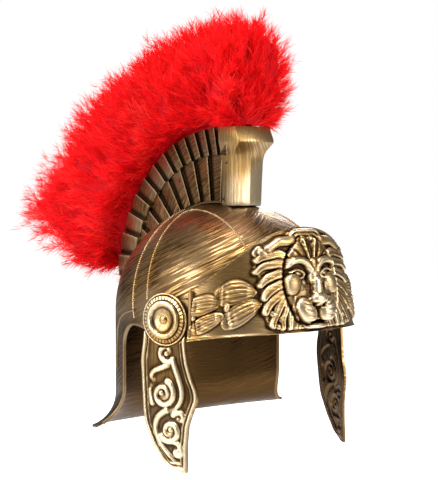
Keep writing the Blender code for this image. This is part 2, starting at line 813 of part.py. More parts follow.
# Scrolls of a cheek guard: centre forward and depth, outer radius, all as shares of the guard's length,
# then where the coil starts and how many turns it makes inward.
SCROLLS = (
    ("upper", 0.005, 0.205, 0.060, 20, 0.95),
    ("large", -0.010, 0.495, 0.088, -60, 1.55),
    ("lower", 0.050, 0.735, 0.070, 130, 1.35),
)
# Stems that join the scrolls: forward and depth of their points, as shares of the guard's length.
STEMS = (
    ("upper_stem", ((0.055, 0.235), (0.075, 0.30), (0.105, 0.38), (0.128, 0.47), (0.105, 0.555),
                    (0.045, 0.610))),
    ("lower_stem", ((0.010, 0.585), (-0.050, 0.640), (-0.045, 0.720), (0.000, 0.805),
                    (0.065, 0.880), (0.120, 0.935))),
    ("rear_hook", ((0.000, 0.300), (-0.050, 0.330), (-0.095, 0.365), (-0.105, 0.330))),
)


def scroll_path(centre_forward, centre_depth, radius, start_degrees, turns):
    steps = round(SCROLL_STEPS_PER_TURN * turns)
    path = []
    for step in range(steps + 1):
        share = step / steps
        turn = math.radians(start_degrees) + 2 * math.pi * turns * share
        size = GUARD_LENGTH * radius * (1 - 0.80 * share)
        path.append(
            (
                GUARD_LENGTH * centre_forward + size * math.cos(turn),
                GUARD_LENGTH * centre_depth + size * math.sin(turn),
            )
        )
    return path


def border_path(edge, inset):
    run = BORDER_END - BORDER_START
    depths = [
        GUARD_LENGTH * (BORDER_START + run * i / BORDER_STEPS) for i in range(BORDER_STEPS + 1)
    ]
    side = 1 if edge == 0 else -1
    return [(guard_edges(depth)[edge] - side * inset, depth) for depth in depths]


def cheek_guard_mesh():
    """The right guard, relative to the pivot point."""
    forms = [ribbon(border_path(edge, 0.75 * BORDER_WIDTH), BORDER_WIDTH, BORDER_RISE, False)
             for edge in (0, 1)]
    forms += [ribbon(scroll_path(*sizes), SCROLL_WIDTH, SCROLL_RISE) for _, *sizes in SCROLLS]
    for _, shares in STEMS:
        path = [(GUARD_LENGTH * a, GUARD_LENGTH * b) for a, b in shares]
        forms.append(ribbon(path, SCROLL_WIDTH, 0.8 * SCROLL_RISE))
    plate = combine(guard_plate(), forms, "UNION")
    seat = guard_level() + GUARD_THICKNESS + 0.2 * GUARD_CLEARANCE
    top = seat + PIVOT_CUT_REACH
    clear = ROSETTE_RADIUS + GUARD_CLEARANCE
    room = turned([(0, seat), (clear, seat), (clear, top), (0, top)], "room")
    return combine(plate, [pivot_hole(), room], "DIFFERENCE")


def crest_point(angle, radius, across=0.0):
    return Vector(
        (
            across,
            CREST_CENTRE_Y + radius * math.cos(angle),
            CREST_CENTRE_Z + radius * math.sin(angle),
        )
    )


def bowl_radius(angle, across=0.0):
    """Distance from the crest's centre to the bowl's outside, at a distance from the middle plane."""
    low, high = 0.0, 2 * CREST_RADIUS
    for _ in range(40):
        radius = (low + high) / 2
        point = crest_point(angle, radius, across)
        reach = BOWL_REAR if point.y > 0 else BOWL_FRONT
        plan = abs(point.x / BOWL_HALF_WIDTH) ** PLAN_POWER + abs(point.y / reach) ** PLAN_POWER
        inside = plan ** (2 / PLAN_POWER) + (max(point.z, 0) / BOWL_HEIGHT) ** 2 < 1
        if inside:
            low = radius
        else:
            high = radius
    return radius


def arc_solid(angles, half_width, low_at, high_at):
    """A closed solid along the crest's arc, with radii given by functions of the angle."""
    points, faces = [], []
    for angle in angles:
        low, high = low_at(angle), high_at(angle)
        for across, radius in (
            (-half_width, low), (-half_width, high), (half_width, high), (half_width, low)
        ):
            points.append(crest_point(angle, radius, across))
    for i in range(len(angles) - 1):
        start = 4 * i
        for corner in range(4):
            after = (corner + 1) % 4
            faces.append((start + corner, start + after, start + 4 + after, start + 4 + corner))
    faces += [(0, 1, 2, 3), tuple(4 * (len(angles) - 1) + corner for corner in range(4))]
    return mesh_from("arc", points, faces)


def spread_angles(first, last, segments):
    return [first + (last - first) * i / segments for i in range(segments + 1)]


def upper_slat_angles():
    """Front edges of the upper slats, which grow longer towards the back, and the crest's rear end."""
    edges = [
        UPPER_SLAT_FIRST - UPPER_SLAT_PITCH * i - UPPER_SLAT_GROWTH * i * i
        for i in range(UPPER_SLATS)
    ]
    front = CREST_FRONT_ANGLE - UPPER_SLAT_INSET
    return [front] + edges + [CREST_REAR_ANGLE - UPPER_SLAT_OVERRUN]


def lower_slat_angles():
    edges = [LOWER_SLAT_FIRST - LOWER_SLAT_PITCH * i for i in range(LOWER_SLATS)]
    front = CREST_FRONT_ANGLE - LOWER_SLAT_INSET
    return [front] + edges + [CREST_REAR_ANGLE + LOWER_SLAT_END_INSET]


def slat_tier(angles, half_width, low_at, high_at, side, lead):
    """One side of a tier: each slat stands proud at its front edge and runs flush at its back edge."""
    root = CREST_CORE_HALF_WIDTH - SLAT_ROOT
    points, faces = [], []
    for i, angle in enumerate(angles):
        proud = half_width + (SLAT_STEP if i < len(angles) - 1 else 0)
        for across in (root, half_width, proud):
            for radius, shift in ((low_at(angle), lead), (high_at(angle), 0.0)):
                points.append(crest_point(angle + shift, radius, side * across))
    for i in range(len(angles) - 1):
        here, after = 6 * i, 6 * (i + 1)
        inner, flush, proud = here, here + 2, here + 4
        next_inner, next_flush = after, after + 2
        faces.append((proud, next_flush, next_flush + 1, proud + 1))
        faces.append((inner, inner + 1, next_inner + 1, next_inner))
        if i == 0:
            faces.append((inner, proud, proud + 1, inner + 1))
            faces.append((inner, next_inner, next_flush, proud))
            faces.append((inner + 1, proud + 1, next_flush + 1, next_inner + 1))
            continue
        faces.append((flush, proud, proud + 1, flush + 1))
        faces.append((inner, next_inner, next_flush, proud, flush))
        faces.append((inner + 1, flush + 1, proud + 1, next_flush + 1, next_inner + 1))
    end = 6 * (len(angles) - 1)
    faces.append((end, end + 1, end + 3, end + 2))
    used = sorted({corner for face in faces for corner in face})
    place = {corner: i for i, corner in enumerate(used)}
    points = [points[corner] for corner in used]
    faces = [tuple(place[corner] for corner in face) for face in faces]
    return mesh_from("tier", points, faces)


# The prow at the crest's front, from the foot up: height as a share of its top's height, half width as
# a share of the prow's, and how far forward its side corners lie as a share of its reach.
PROW_LEVELS = (
    ("foot", 0.4957, 0.7778, 0.6932),
    ("low", 0.5994, 0.8000, 0.7000),
    ("neck", 0.8184, 0.8400, 0.7318),
    ("swell", 0.8646, 0.8756, 0.8000),
    ("lip", 0.9141, 0.9644, 1.0000),
    ("top", 1.0000, 1.0000, 0.8523),
)


def prow_mesh():
    """The closed front of the crest box, with a blunt upright ridge in its middle."""
    points, faces = [], []
    top = CREST_CENTRE_Z + CREST_RADIUS + PROW_TOP_RISE
    for _, height_share, width_share, reach_share in PROW_LEVELS:
        height = top * height_share
        half_width = PROW_HALF_WIDTH * width_share
        front = -PROW_REACH * reach_share
        points += [
            Vector((-half_width, -PROW_BACK, height)),
            Vector((-half_width, front, height)),
            Vector((0, front - PROW_RIDGE, height)),
            Vector((half_width, front, height)),
            Vector((half_width, -PROW_BACK, height)),
        ]
    for level in range(len(PROW_LEVELS) - 1):
        start = 5 * level
        for corner in range(5):
            after = (corner + 1) % 5
            faces.append((start + corner, start + after, start + 5 + after, start + 5 + corner))
    last = 5 * (len(PROW_LEVELS) - 1)
    faces += [tuple(range(5)), tuple(last + corner for corner in range(5))]
    return mesh_from("prow", points, faces)


def grown_bowl():
    """The bowl's outside, a gap larger, as a closed cutter for what sits on it."""
    points = [Vector((0, 0, BOWL_HEIGHT + GAP))]
    faces = []
    columns, rows = BOWL_COLUMNS, DOME_ROWS
    grow = GAP + FACET_ALLOWANCE
    for row in range(1, rows + 1):
        lift = math.radians(90) * (1 - row / rows)
        for column in range(columns):
            x, y = power_curve(
                2 * math.pi * column / columns,
                BOWL_HALF_WIDTH + grow,
                BOWL_FRONT + grow,
                BOWL_REAR + grow,
                PLAN_POWER,
            )
            height = (BOWL_HEIGHT + grow) * math.sin(lift)
            points.append(Vector((x * math.cos(lift), y * math.cos(lift), height)))
    for row in range(rows):
        for column in range(columns):
            after = (column + 1) % columns
            here = 1 + (row - 1) * columns
            if row == 0:
                faces.append((0, 1 + column, 1 + after))
            else:
                faces.append(
                    (here + column, here + columns + column, here + columns + after, here + after)
                )
    last = 1 + (rows - 1) * columns
    faces.append(tuple(last + column for column in range(columns)))
    return mesh_from("grown_bowl", points, faces)


def channel_angles():
    """The slot that the plume's backing fills, from just behind the prow to just before the rear end."""
    rear = CREST_REAR_ANGLE + CHANNEL_REAR_INSET
    return spread_angles(CHANNEL_FRONT_ANGLE, rear, CREST_SEGMENTS)


def channel_floor(angle):
    """A level slot, deeper only where that leaves a wall over the bowl."""
    return max(CREST_RADIUS - CHANNEL_DEPTH, bowl_radius(angle) + CREST_WALL)


# Nail holes in each side of the crest box: angle in degrees along its arc, and the distance from the
# arc's centre as a share of the crest's radius.
NAIL_HOLES = (
    ("prow_high", 95.5, 0.7975),
    ("prow_low", 94.0, 0.5890),
    ("middle", 62.0, 0.7853),
    ("rear", 35.0, 0.8037),
)


def nail_holes():
    """Small blind holes in both sides of the crest box."""
    cutters = []
    for _, angle_degrees, radius_share in NAIL_HOLES:
        angle = math.radians(angle_degrees)
        radius = CREST_RADIUS * radius_share
        outer = LOWER_HALF_WIDTH + SLAT_STEP
        shape = bmesh.new()
        bmesh.ops.create_cone(
            shape,
            cap_ends=True,
            segments=NAIL_HOLE_SIDES,
            radius1=NAIL_HOLE_RADIUS,
            radius2=NAIL_HOLE_RADIUS,
            depth=2 * NAIL_HOLE_DEPTH + SLAT_STEP,
            matrix=Matrix.Translation(crest_point(angle, radius, -outer))
            @ Matrix.Rotation(math.pi / 2, 4, "Y"),
        )
        mesh = bpy.data.meshes.new("nail_hole")
        shape.to_mesh(mesh)
        shape.free()
        cutters += [mesh, mirrored(mesh)]
    return cutters


def crest_box_mesh():
    angles = spread_angles(CREST_FRONT_ANGLE, CREST_REAR_ANGLE, CREST_SEGMENTS)
    core = arc_solid(
        angles,
        CREST_CORE_HALF_WIDTH,
        lambda angle: bowl_radius(angle) - CREST_FOOT_SINK,
        lambda angle: CREST_RADIUS - SLAT_STEP,
    )
    side_foot = LOWER_HALF_WIDTH + SLAT_STEP / 2
    tiers = []
    for side in (1, -1):
        tiers.append(
            slat_tier(
                lower_slat_angles(),
                LOWER_HALF_WIDTH,
                lambda angle: bowl_radius(angle, side_foot) + SLAT_FOOT_GAP,
                lambda angle: TIER_RADIUS + SLAT_LAP,
                side,
                0.0,
            )
        )
        tiers.append(
            slat_tier(
                upper_slat_angles(),
                UPPER_HALF_WIDTH,
                lambda angle: TIER_RADIUS,
                lambda angle: CREST_RADIUS,
                side,
                SLAT_LEAD,
            )
        )
    box = combine(core, [prow_mesh(), *tiers], "UNION")
    channel = arc_solid(
        channel_angles(),
        CREST_CORE_HALF_WIDTH - CREST_WALL,
        channel_floor,
        lambda angle: CREST_RADIUS + CHANNEL_DEPTH,
    )
    return combine(box, [grown_bowl(), channel, *nail_holes()], "DIFFERENCE")


def plume_share(angle):
    """0 at the plume's front end and 1 at its rear end."""
    return (PLUME_FRONT_ANGLE - angle) / (PLUME_FRONT_ANGLE - PLUME_REAR_ANGLE)


def plume_length(share):
    """Feathers grow longer towards the back."""
    growth = min(max(share, 0), 1) ** PLUME_GROWTH
    return PLUME_FRONT_LENGTH + (PLUME_REAR_LENGTH - PLUME_FRONT_LENGTH) * growth


def plume_half_width(share):
    return PLUME_HALF_WIDTH + (PLUME_REAR_HALF_WIDTH - PLUME_HALF_WIDTH) * share


def plume_point(angle, reach, across):
    """A point of the plume: its reach is a share of the feathers' length, which lean up at the rear."""
    share = plume_share(angle)
    lean = PLUME_LEAN * max(share, 0) ** 2 * reach
    radius = CREST_RADIUS + PLUME_LIFT + plume_length(share) * reach
    return crest_point(angle + lean, radius, across * plume_half_width(share))


def backing_mesh():
    """The strip that fills the crest box's channel and carries the feathers."""
    half_width = CREST_CORE_HALF_WIDTH - CREST_WALL - GAP
    angles = channel_angles()
    angles[0] -= BACKING_INSET
    angles[-1] += BACKING_INSET
    return arc_solid(
        angles,
        half_width,
        lambda angle: channel_floor(angle) + 2 * GAP,
        lambda angle: CREST_RADIUS + BACKING_RISE,
    )


# Cross-section of the plume's body: half width and height as shares of the plume's own.
BODY_SECTION = ((0.26, 0.025), (0.66, 0.09), (0.86, 0.35), (0.85, 0.62), (0.57, 0.84), (0.0, 0.93))


def plume_body():
    """The thick middle of the plume, under the tufts."""
    angles = spread_angles(PLUME_FRONT_ANGLE, PLUME_REAR_ANGLE, PLUME_SECTIONS)
    points, faces = [], []
    for angle in angles:
        right = [plume_point(angle, up, -across) for across, up in BODY_SECTION]
        left = [Vector((-point.x, point.y, point.z)) for point in reversed(right[:-1])]
        points += right + left
    wide = 2 * len(BODY_SECTION) - 1
    for i in range(PLUME_SECTIONS):
        for corner in range(wide):
            after = (corner + 1) % wide
            start = i * wide
            faces.append(
                (start + corner, start + after, start + wide + after, start + wide + corner)
            )
    faces += [tuple(range(wide)), tuple(PLUME_SECTIONS * wide + corner for corner in range(wide))]
    return mesh_from("body", points, faces)


def feather_tuft(root, tip, radius):
    """A four-sided tuft that swells a little and ends in a point."""
    run = (tip - root).normalized()
    across = run.cross(Vector((1, 0, 0))).normalized()
    beside = run.cross(across)
    points = []
    for share, width in ((0.0, 0.75), (0.40, 1.0), (0.80, 0.55)):
        centre = root.lerp(tip, share)
        for side, up in ((1, 0), (0, 1), (-1, 0), (0, -1)):
            points.append(centre + (across * side + beside * up) * radius * width)
    points.append(tip)
    faces = [(0, 1, 2, 3)]
    for ring in range(2):
        start = 4 * ring
        for corner in range(4):
            after = (corner + 1) % 4
            faces.append((start + corner, start + after, start + 4 + after, start + 4 + corner))
    faces += [(8 + corner, 8 + (corner + 1) % 4, 12) for corner in range(4)]
    return mesh_from("tuft", points, faces)


# Rows of tufts from side to side: how far to the side they point, and where they start and end as
# shares of the feathers' length.
TUFT_ROWS = (
    ("right_low", -1.02, 0.16, 0.60),
    ("right", -0.92, 0.42, 0.90),
    ("right_top", -0.48, 0.52, 1.00),
    ("middle", 0.00, 0.52, 1.04),
    ("left_top", 0.48, 0.52, 1.00),
    ("left", 0.92, 0.42, 0.90),
    ("left_low", 1.02, 0.16, 0.60),
)


def plume_tufts():
    """Every other row is set half a step on, and the lengths ripple along a row."""
    tufts = []
    for row, (_, side, start, end) in enumerate(TUFT_ROWS):
        for i in range(TUFTS_PER_ROW):
            share = (i + 0.5 * (row % 2) + 0.25) / TUFTS_PER_ROW
            angle = PLUME_FRONT_ANGLE + (PLUME_REAR_ANGLE - PLUME_FRONT_ANGLE) * share
            ripple = TUFT_RIPPLE * math.sin(TUFT_RIPPLE_ALONG * i + TUFT_RIPPLE_ACROSS * row)
            root_angle = min(max(angle, TUFT_ROOT_REAR), TUFT_ROOT_FRONT)
            root = plume_point(root_angle, start, TUFT_ROOT_SPREAD * side)
            tip = plume_point(angle, end + ripple, side * (1 + ripple))
            radius = TUFT_FRONT_RADIUS + (TUFT_REAR_RADIUS - TUFT_FRONT_RADIUS) * share
            tufts.append(feather_tuft(root, tip, radius))
    return tufts


def plume_mesh():
    return combine(plume_body(), [backing_mesh(), *plume_tufts()], "UNION")


def shade(mesh, degrees):
    mesh.shade_smooth()
    mesh.set_sharp_from_angle(angle=math.radians(degrees))


def build():
    clear_scene()
    carrier = whole_object()
    gold = material("antique_gold_plastic", (0.50, 0.33, 0.13), 0.35, 0.85)
    red = material("red_feather", (0.75, 0.006, 0.012), 0.85, 0.0)
    pale = material("bright_gold_plastic", (0.72, 0.58, 0.32), 0.30, 0.85)

    fixed = (
        ("shell", shell_mesh(), gold),
        ("brow_band", brow_band_mesh(), gold),
        ("crest_box", crest_box_mesh(), gold),
        ("plume", plume_mesh(), red),
    )
    for name, mesh, finish in fixed:
        shade(mesh, 40)
        add_object(name, mesh, finish, carrier)

    place = pivot_point()
    hung = (
        ("cheek_guard", cheek_guard_mesh(), gold),
        ("rosette", rosette_mesh(), pale),
        ("rivet", rivet_mesh(), pale),
    )
    for name, mesh, finish in hung:
        shade(mesh, 40)
        add_object(name + "_right", mesh, finish, carrier, place)
        add_object(name + "_left", mirrored(mesh), finish, carrier, (-place.x, place.y, place.z))


build()
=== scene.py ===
"""The looks of the costume legionary helmet: brushed antique gold, a lion in relief and a down plume.

Metres, +Z up. X is the wearer's left and the face looks along -Y. Shapes are worked out about the bowl's
middle axis with heights counted from the rosettes, and lowered into the frame at the end.
"""

import math

import bmesh
import bpy
import numpy as np
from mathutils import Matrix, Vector


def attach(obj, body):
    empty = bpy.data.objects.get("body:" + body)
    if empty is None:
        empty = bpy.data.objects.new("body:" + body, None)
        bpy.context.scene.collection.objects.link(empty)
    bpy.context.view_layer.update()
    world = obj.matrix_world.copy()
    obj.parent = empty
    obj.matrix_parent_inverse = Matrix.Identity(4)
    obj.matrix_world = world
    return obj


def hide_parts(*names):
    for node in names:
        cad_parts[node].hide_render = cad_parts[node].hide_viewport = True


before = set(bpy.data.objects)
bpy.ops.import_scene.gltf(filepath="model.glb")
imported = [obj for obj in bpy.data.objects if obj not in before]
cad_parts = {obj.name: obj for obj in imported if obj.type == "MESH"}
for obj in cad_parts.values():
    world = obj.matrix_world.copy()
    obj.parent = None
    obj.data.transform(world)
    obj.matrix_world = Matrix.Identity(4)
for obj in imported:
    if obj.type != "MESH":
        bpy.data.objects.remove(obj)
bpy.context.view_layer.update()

# Bowl and neck guard
BOWL_HALF_WIDTH = 0.102
BOWL_FRONT = 0.112
BOWL_REAR = 0.108
BOWL_HEIGHT = 0.1025
PLAN_POWER = 2.15
WALL = 0.002
CROWN_INSIDE = BOWL_HEIGHT - WALL
BROW_EDGE = -0.009
TEMPLE_EDGE = -0.014
EAR_ARCH_TOP = -0.008
EAR_ARCH_RADIUS = 0.023
NECK_FRONT = 0.032
NECK_CREASE = -0.072
NECK_CREASE_FALL = 0.22
FLARE_SIDE = 0.025
FLARE_REAR = 0.0185
FLARE_DROP = 0.032
NECK_CORNER_SWEEP = 0.015
BROW_STEP_FRONT = 0.024
BROW_STEP_BACK = 0.014
BOWL_COLUMNS = 200
DOME_ROWS = 34
WALL_ROWS = 14
FLARE_ROWS = 14
RIM_RADIUS = 0.0018
BEAD_RADIUS = 0.0012
BEAD_SPACING = 0.0021
WELT_RADIUS = 0.0010
MOULDING_RADIUS = 0.0011
BEAD_SUBDIVISIONS = 2

# Pivots of the cheek guards
PIVOT_BACK = -0.0375
PIVOT_TURN = math.radians(17)
GAP = 0.0003
TAB_THICKNESS = 0.003
TAB_RADIUS = 0.018
GUARD_THICKNESS = 0.003
CLEARANCE = 0.0005
ROSETTE_RADIUS = 0.0235
ROSETTE_RISE = 0.0054
ROSETTE_SEGMENTS = 36
RIVET_RADIUS = 0.0039
RIVET_RISE = 0.0022
ROSETTE_DISH = 0.0026
PAD_RISE = 0.0007
PAD_RADIUS = 0.0065
CLINCH_RADIUS = 0.005
CLINCH_THICKNESS = 0.0016
SHANK_RADIUS = 0.002
BORE_RADIUS = 0.0024
AXIS_RADIUS = 0.00005
ROSETTE_SIDES = 96
RIVET_SIDES = 40
GUARD_LEVEL = GAP + TAB_THICKNESS + CLEARANCE
ROSETTE_LEVEL = GUARD_LEVEL + GUARD_THICKNESS + CLEARANCE

# Brow band
BAND_POWER = 2.2
BAND_THICKNESS = 0.0025
BAND_BASE_HALF_WIDTH = 0.101
BAND_BASE_REACH = 0.083
BAND_TOP_HALF_WIDTH = 0.097
BAND_TOP_REACH = 0.066
BAND_BASE_END = math.radians(74.6)
BAND_TOP_END = math.radians(71.3)
BAND_TOP_PEAK = 0.081
BAND_TOP_SIDE = 0.028
BAND_BASE_FRONT = -0.011
BAND_BASE_SIDE = -0.018
BAND_END_GAP = 0.0011
END_WALL = 0.0028
END_WALL_RISE = 0.0040
BAND_LIP = 0.0011
BAND_LIP_WIDTH = 0.0016
BAND_TOP_LIP = 0.0007
BAND_TOP_LIP_WIDTH = 0.0013
BAND_BACK_SKIP = 3
LEAVES_FROM = 0.37
BAND_COLUMNS = 430
BAND_ROWS = 165
LEAF_RISE = 0.0046

# Cheek guards
GUARD_LENGTH = 0.133
GUARD_HEAD_RADIUS = 0.0205
GUARD_BEND_RADIUS = 0.150
GUARD_SPLAY = 0.035
GUARD_COLUMNS = 80
GUARD_ROWS = 210
GUARD_HEAD_ROWS = 24
GUARD_SKIN = 0.0022
BORDER_RISE = 0.0017
BORDER_CENTRE = 0.0017
BORDER_HALF_WIDTH = 0.0021
LINE_CENTRE = 0.0058
LINE_HALF_WIDTH = 0.0009
SCROLL_WIDTH = 0.0064
SCROLL_RISE = 0.0024

# Crest box
CREST_CENTRE_Y = -0.010
CREST_CENTRE_Z = 0.010
CREST_RADIUS = 0.163
TIER_RADIUS = 0.137
CREST_FRONT_ANGLE = math.radians(97)
CREST_REAR_ANGLE = math.radians(6)
CREST_CORE_HALF_WIDTH = 0.015
CREST_WALL = 0.0025
SLAT_STEP = 0.0025
LOWER_HALF_WIDTH = 0.0165
UPPER_HALF_WIDTH = 0.0190
SLAT_FOOT_GAP = 0.003
SLAT_LEAD = math.radians(2)
SLAT_LAP = math.radians(0.4)
SLAT_ROOT_INSET = 0.001
SLAT_TAIL_INSET = 0.0002
SLAT_BEVEL = 0.00045
SLAT_STEPS = 8
UPPER_SLATS = 12
UPPER_SLAT_FIRST = 89
UPPER_SLAT_PITCH = 4.9
UPPER_SLAT_GROWTH = 0.18
LOWER_SLATS = 9
LOWER_SLAT_FIRST = 92.8
LOWER_SLAT_PITCH = 9.2
CREST_COLUMNS = 60
CREST_FOOT_GAP = 0.0009
CREST_WALL_TOP = CREST_RADIUS - 0.0025
CREST_END_THICKNESS = math.radians(2)
PROW_BACK = -0.014
PROW_RIDGE = 0.0035

# Plume
PLUME_FRONT_LENGTH = 0.095
PLUME_REAR_LENGTH = 0.196
PLUME_GROWTH = 2.9
PLUME_HALF_WIDTH = 0.042
PLUME_REAR_HALF_WIDTH = 0.050
PLUME_FRONT_ANGLE = math.radians(98)
PLUME_REAR_ANGLE = math.radians(9)
PLUME_LEAN = math.radians(8)
PLUME_LIFT = 0.0016
BODY_COLUMNS = 90
BODY_ROWS = 61
BACKING_RISE = 0.008
BACKING_FRONT_ANGLE = math.radians(95.6)
BACKING_REAR_ANGLE = CREST_REAR_ANGLE + math.radians(2.4)
TUFTS = 2300
BARBS_PER_TUFT = 48
QUILL_LENGTH = (0.014, 0.027)
BARB_LENGTH = (0.009, 0.019)
BARB_SPLAY = (10, 48)
BARB_WIDTH = 0.00046
FRONT_TUFTS = 0.07
REAR_TUFTS = 0.08
PLUME_SHEETS = 4
CHANNEL_DEPTH = 0.016

# The photograph's camera
CAMERA_PLACE = (-0.7222, -0.8499, 0.0085)
CAMERA_BEARING = math.radians(40)
CAMERA_PITCH = math.radians(2.197)
CAMERA_LENS = 87.0
SENSOR_WIDTH = 36

FLOOR_LEVEL = -0.62
FLOOR_HALF_WIDTH = 6
# Soft lights: place, width, height and power.
LIGHTS = (
    ("left", (-1.55, 0.25, 0.45), 0.9, 1.3, 27),
    ("front", (0.55, -1.55, 0.40), 0.8, 1.2, 20),
    ("top", (-0.35, -0.40, 1.70), 1.1, 1.1, 30),
    ("rear", (1.10, 1.10, 0.80), 0.9, 0.9, 16),
)


# Meshes

SHARP_ANGLE = math.radians(42)
STROKE_CLIMB = 0.45
STROKE_CLIMB_END = 2.5


def placed(name, data):
    obj = bpy.data.objects.new(name, data)
    bpy.context.scene.collection.objects.link(obj)
    return obj


def new_object(name, points, faces=(), edges=()):
    mesh = bpy.data.meshes.new(name)
    mesh.from_pydata(points, edges, faces)
    mesh.update()
    return placed(name, mesh)


def lowered(points):
    """Points with heights counted from the rosettes, lowered into the frame."""
    points = np.asarray(points, dtype=float).reshape(-1, 3)
    return (points - (0, 0, CROWN_INSIDE)).tolist()


def add_piece(name, points, faces, finish, body="root", replaces=None, closed=True,
              bevel=None):
    """One finished piece: its faces are turned out, its edges bevelled, and it rides on a body."""
    obj = new_object(name, lowered(points), faces)
    if closed:
        outward(obj)
    if bevel:
        bevelled(obj, *bevel)
    settle(obj, finish, body, replaces)
    return obj


def settle(obj, finish, body="root", replaces=None):
    """Gives a piece its finish and its smooth shading, hangs it on its body and hides the part it replaces."""
    mesh = obj.data
    mesh.materials.clear()
    mesh.materials.append(finish)
    mesh.polygons.foreach_set("material_index", [0] * len(mesh.polygons))
    mesh.shade_smooth()
    mesh.set_sharp_from_angle(angle=SHARP_ANGLE)
    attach(obj, body)
    if replaces:
        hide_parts(replaces)


def outward(obj):
    """Turns every face out and joins doubled points."""
    shape = bmesh.new()
    shape.from_mesh(obj.data)
    bmesh.ops.remove_doubles(shape, verts=shape.verts, dist=1e-6)
    bmesh.ops.recalc_face_normals(shape, faces=shape.faces)
    shape.to_mesh(obj.data)
    shape.free()


def bevelled(obj, width, segments=2, degrees=35):
    """Rounds the piece's edges and makes the result its own mesh."""
    step = obj.modifiers.new("bevel", "BEVEL")
    step.width = width
    step.segments = segments
    step.limit_method = "ANGLE"
    step.angle_limit = math.radians(degrees)
    bake(obj)


def bake(obj):
    """Makes what an object's modifiers give its own mesh."""
    bpy.context.view_layer.update()
    graph = bpy.context.evaluated_depsgraph_get()
    mesh = bpy.data.meshes.new_from_object(obj.evaluated_get(graph))
    obj.modifiers.clear()
    obj.data = mesh


def grid_faces(rows, columns, start=0, wrap=False, flip=False):
    """Quads of a grid of points, row by row."""
    last = columns if wrap else columns - 1
    row, column = np.meshgrid(np.arange(rows - 1), np.arange(last), indexing="ij")
    here = start + row * columns + column
    beside = start + row * columns + (column + 1) % columns
    faces = np.stack([here, beside, beside + columns, here + columns], -1).reshape(-1, 4)
    return (faces[:, ::-1] if flip else faces).tolist()


def capped_rings(rings, count, start=0):
    """Faces of closed rings of points joined one after another, with a face over each end."""
    last = start + (rings - 1) * count
    caps = [tuple(range(start + count - 1, start - 1, -1)), tuple(range(last, last + count))]
    return grid_faces(rings, count, start, wrap=True) + caps


def set_value(obj, name, values):
    """A number on every point, for the finish to read."""
    attribute = obj.data.attributes.new(name, "FLOAT", "POINT")
    attribute.data.foreach_set("value", np.asarray(values, dtype=np.float32).ravel())


def mirrored(points):
    points = np.array(points, dtype=float)
    points[..., 0] *= -1
    return points


def set_grain(obj, along, across):
    """Which way the brush went: metres along the strokes and across them, on every point."""
    attribute = obj.data.attributes.new("grain", "FLOAT_VECTOR", "POINT")
    flat = np.zeros((len(obj.data.vertices), 3), dtype=np.float32)
    flat[:, 0], flat[:, 1] = np.ravel(along), np.ravel(across)
    attribute.data.foreach_set("vector", flat.ravel())


def places(obj):
    """Points of a piece as an array, with heights counted from the rosettes."""
    flat = np.empty(3 * len(obj.data.vertices))
    obj.data.vertices.foreach_get("co", flat)
    points = flat.reshape(-1, 3)
    points[:, 2] += CROWN_INSIDE
    return points


def bowl_grain(obj):
    """Strokes that climb round the bowl towards the front, its dark inside, painted shade beside the crest box and
    round the pivots, and darker colour low on the rear.
    """
    points = places(obj)
    x, y, z = points.T
    bearing = np.abs(np.arctan2(x, -y))
    up = np.where(z > 0, BOWL_HEIGHT * np.arcsin(np.clip(z / BOWL_HEIGHT, 0, 1)), z)
    along = -bearing * BOWL_FRONT
    set_grain(obj, along, up - STROKE_CLIMB * np.maximum(along, -STROKE_CLIMB_END * BOWL_FRONT))
    normals = np.empty(3 * len(points))
    obj.data.vertices.foreach_get("normal", normals)
    facing = (normals.reshape(-1, 3) * np.stack([x, y, np.clip(z, 0, None)], -1)).sum(-1)
    set_value(obj, "inside", facing < 0)
    # Painted shade where the crest box and the pivots' parts meet the bowl, and darker low on the rear.
    beside_crest = np.exp(-((np.clip(np.abs(x) - LOWER_HALF_WIDTH, 0, None) / 0.011) ** 2)) * (y > -0.035)
    beside_pivot = np.exp(-((np.hypot(y - PIVOT_BACK, z) / 0.030) ** 4))
    low_edge = np.exp(-((np.clip(z - TEMPLE_EDGE, 0, None) / 0.012) ** 2)) * (y > 0)
    set_value(obj, "wear_and_painted_light", -0.50 * np.maximum(np.maximum(beside_crest, beside_pivot), low_edge))


def crest_polar(obj):
    """Angle and radius of a piece's points about the crest's centre."""
    _, y, z = places(obj).T
    return np.arctan2(z - CREST_CENTRE_Z, y - CREST_CENTRE_Y), np.hypot(z - CREST_CENTRE_Z, y - CREST_CENTRE_Y)


def crest_grain(obj):
    """Strokes along the crest's arc."""
    angle, radius = crest_polar(obj)
    along = angle * TIER_RADIUS
    set_grain(obj, along, radius + np.abs(places(obj)[:, 0]) - 0.3 * along)


# Bowl


def plan_curve(turn, inset=0.0):
    share = 2 / PLAN_POWER
    across, along = np.cos(turn), np.sin(turn)
    reach = np.where(along > 0, BOWL_REAR, BOWL_FRONT) - inset
    x = (BOWL_HALF_WIDTH - inset) * np.sign(across) * np.abs(across) ** share
    y = reach * np.sign(along) * np.abs(along) ** share
    return x, y


def plan_normal(x, y):
    reach = np.where(y > 0, BOWL_REAR, BOWL_FRONT)
    nx = np.sign(x) * np.abs(x) ** (PLAN_POWER - 1) / BOWL_HALF_WIDTH**PLAN_POWER
    ny = np.sign(y) * np.abs(y) ** (PLAN_POWER - 1) / reach**PLAN_POWER
    length = np.hypot(nx, ny)
    return nx / length, ny / length


def neck_curve(turn, y):
    """Height of the neck guard's crease, and how far and at what radius the wall tilts out below it."""
    crease = NECK_CREASE - NECK_CREASE_FALL * (y - NECK_FRONT)
    flare = FLARE_REAR + (FLARE_SIDE - FLARE_REAR) * np.cos(turn) ** 2
    tilt_end = 2 * np.arctan(flare / FLARE_DROP)
    return crease, tilt_end, FLARE_DROP / np.sin(tilt_end)


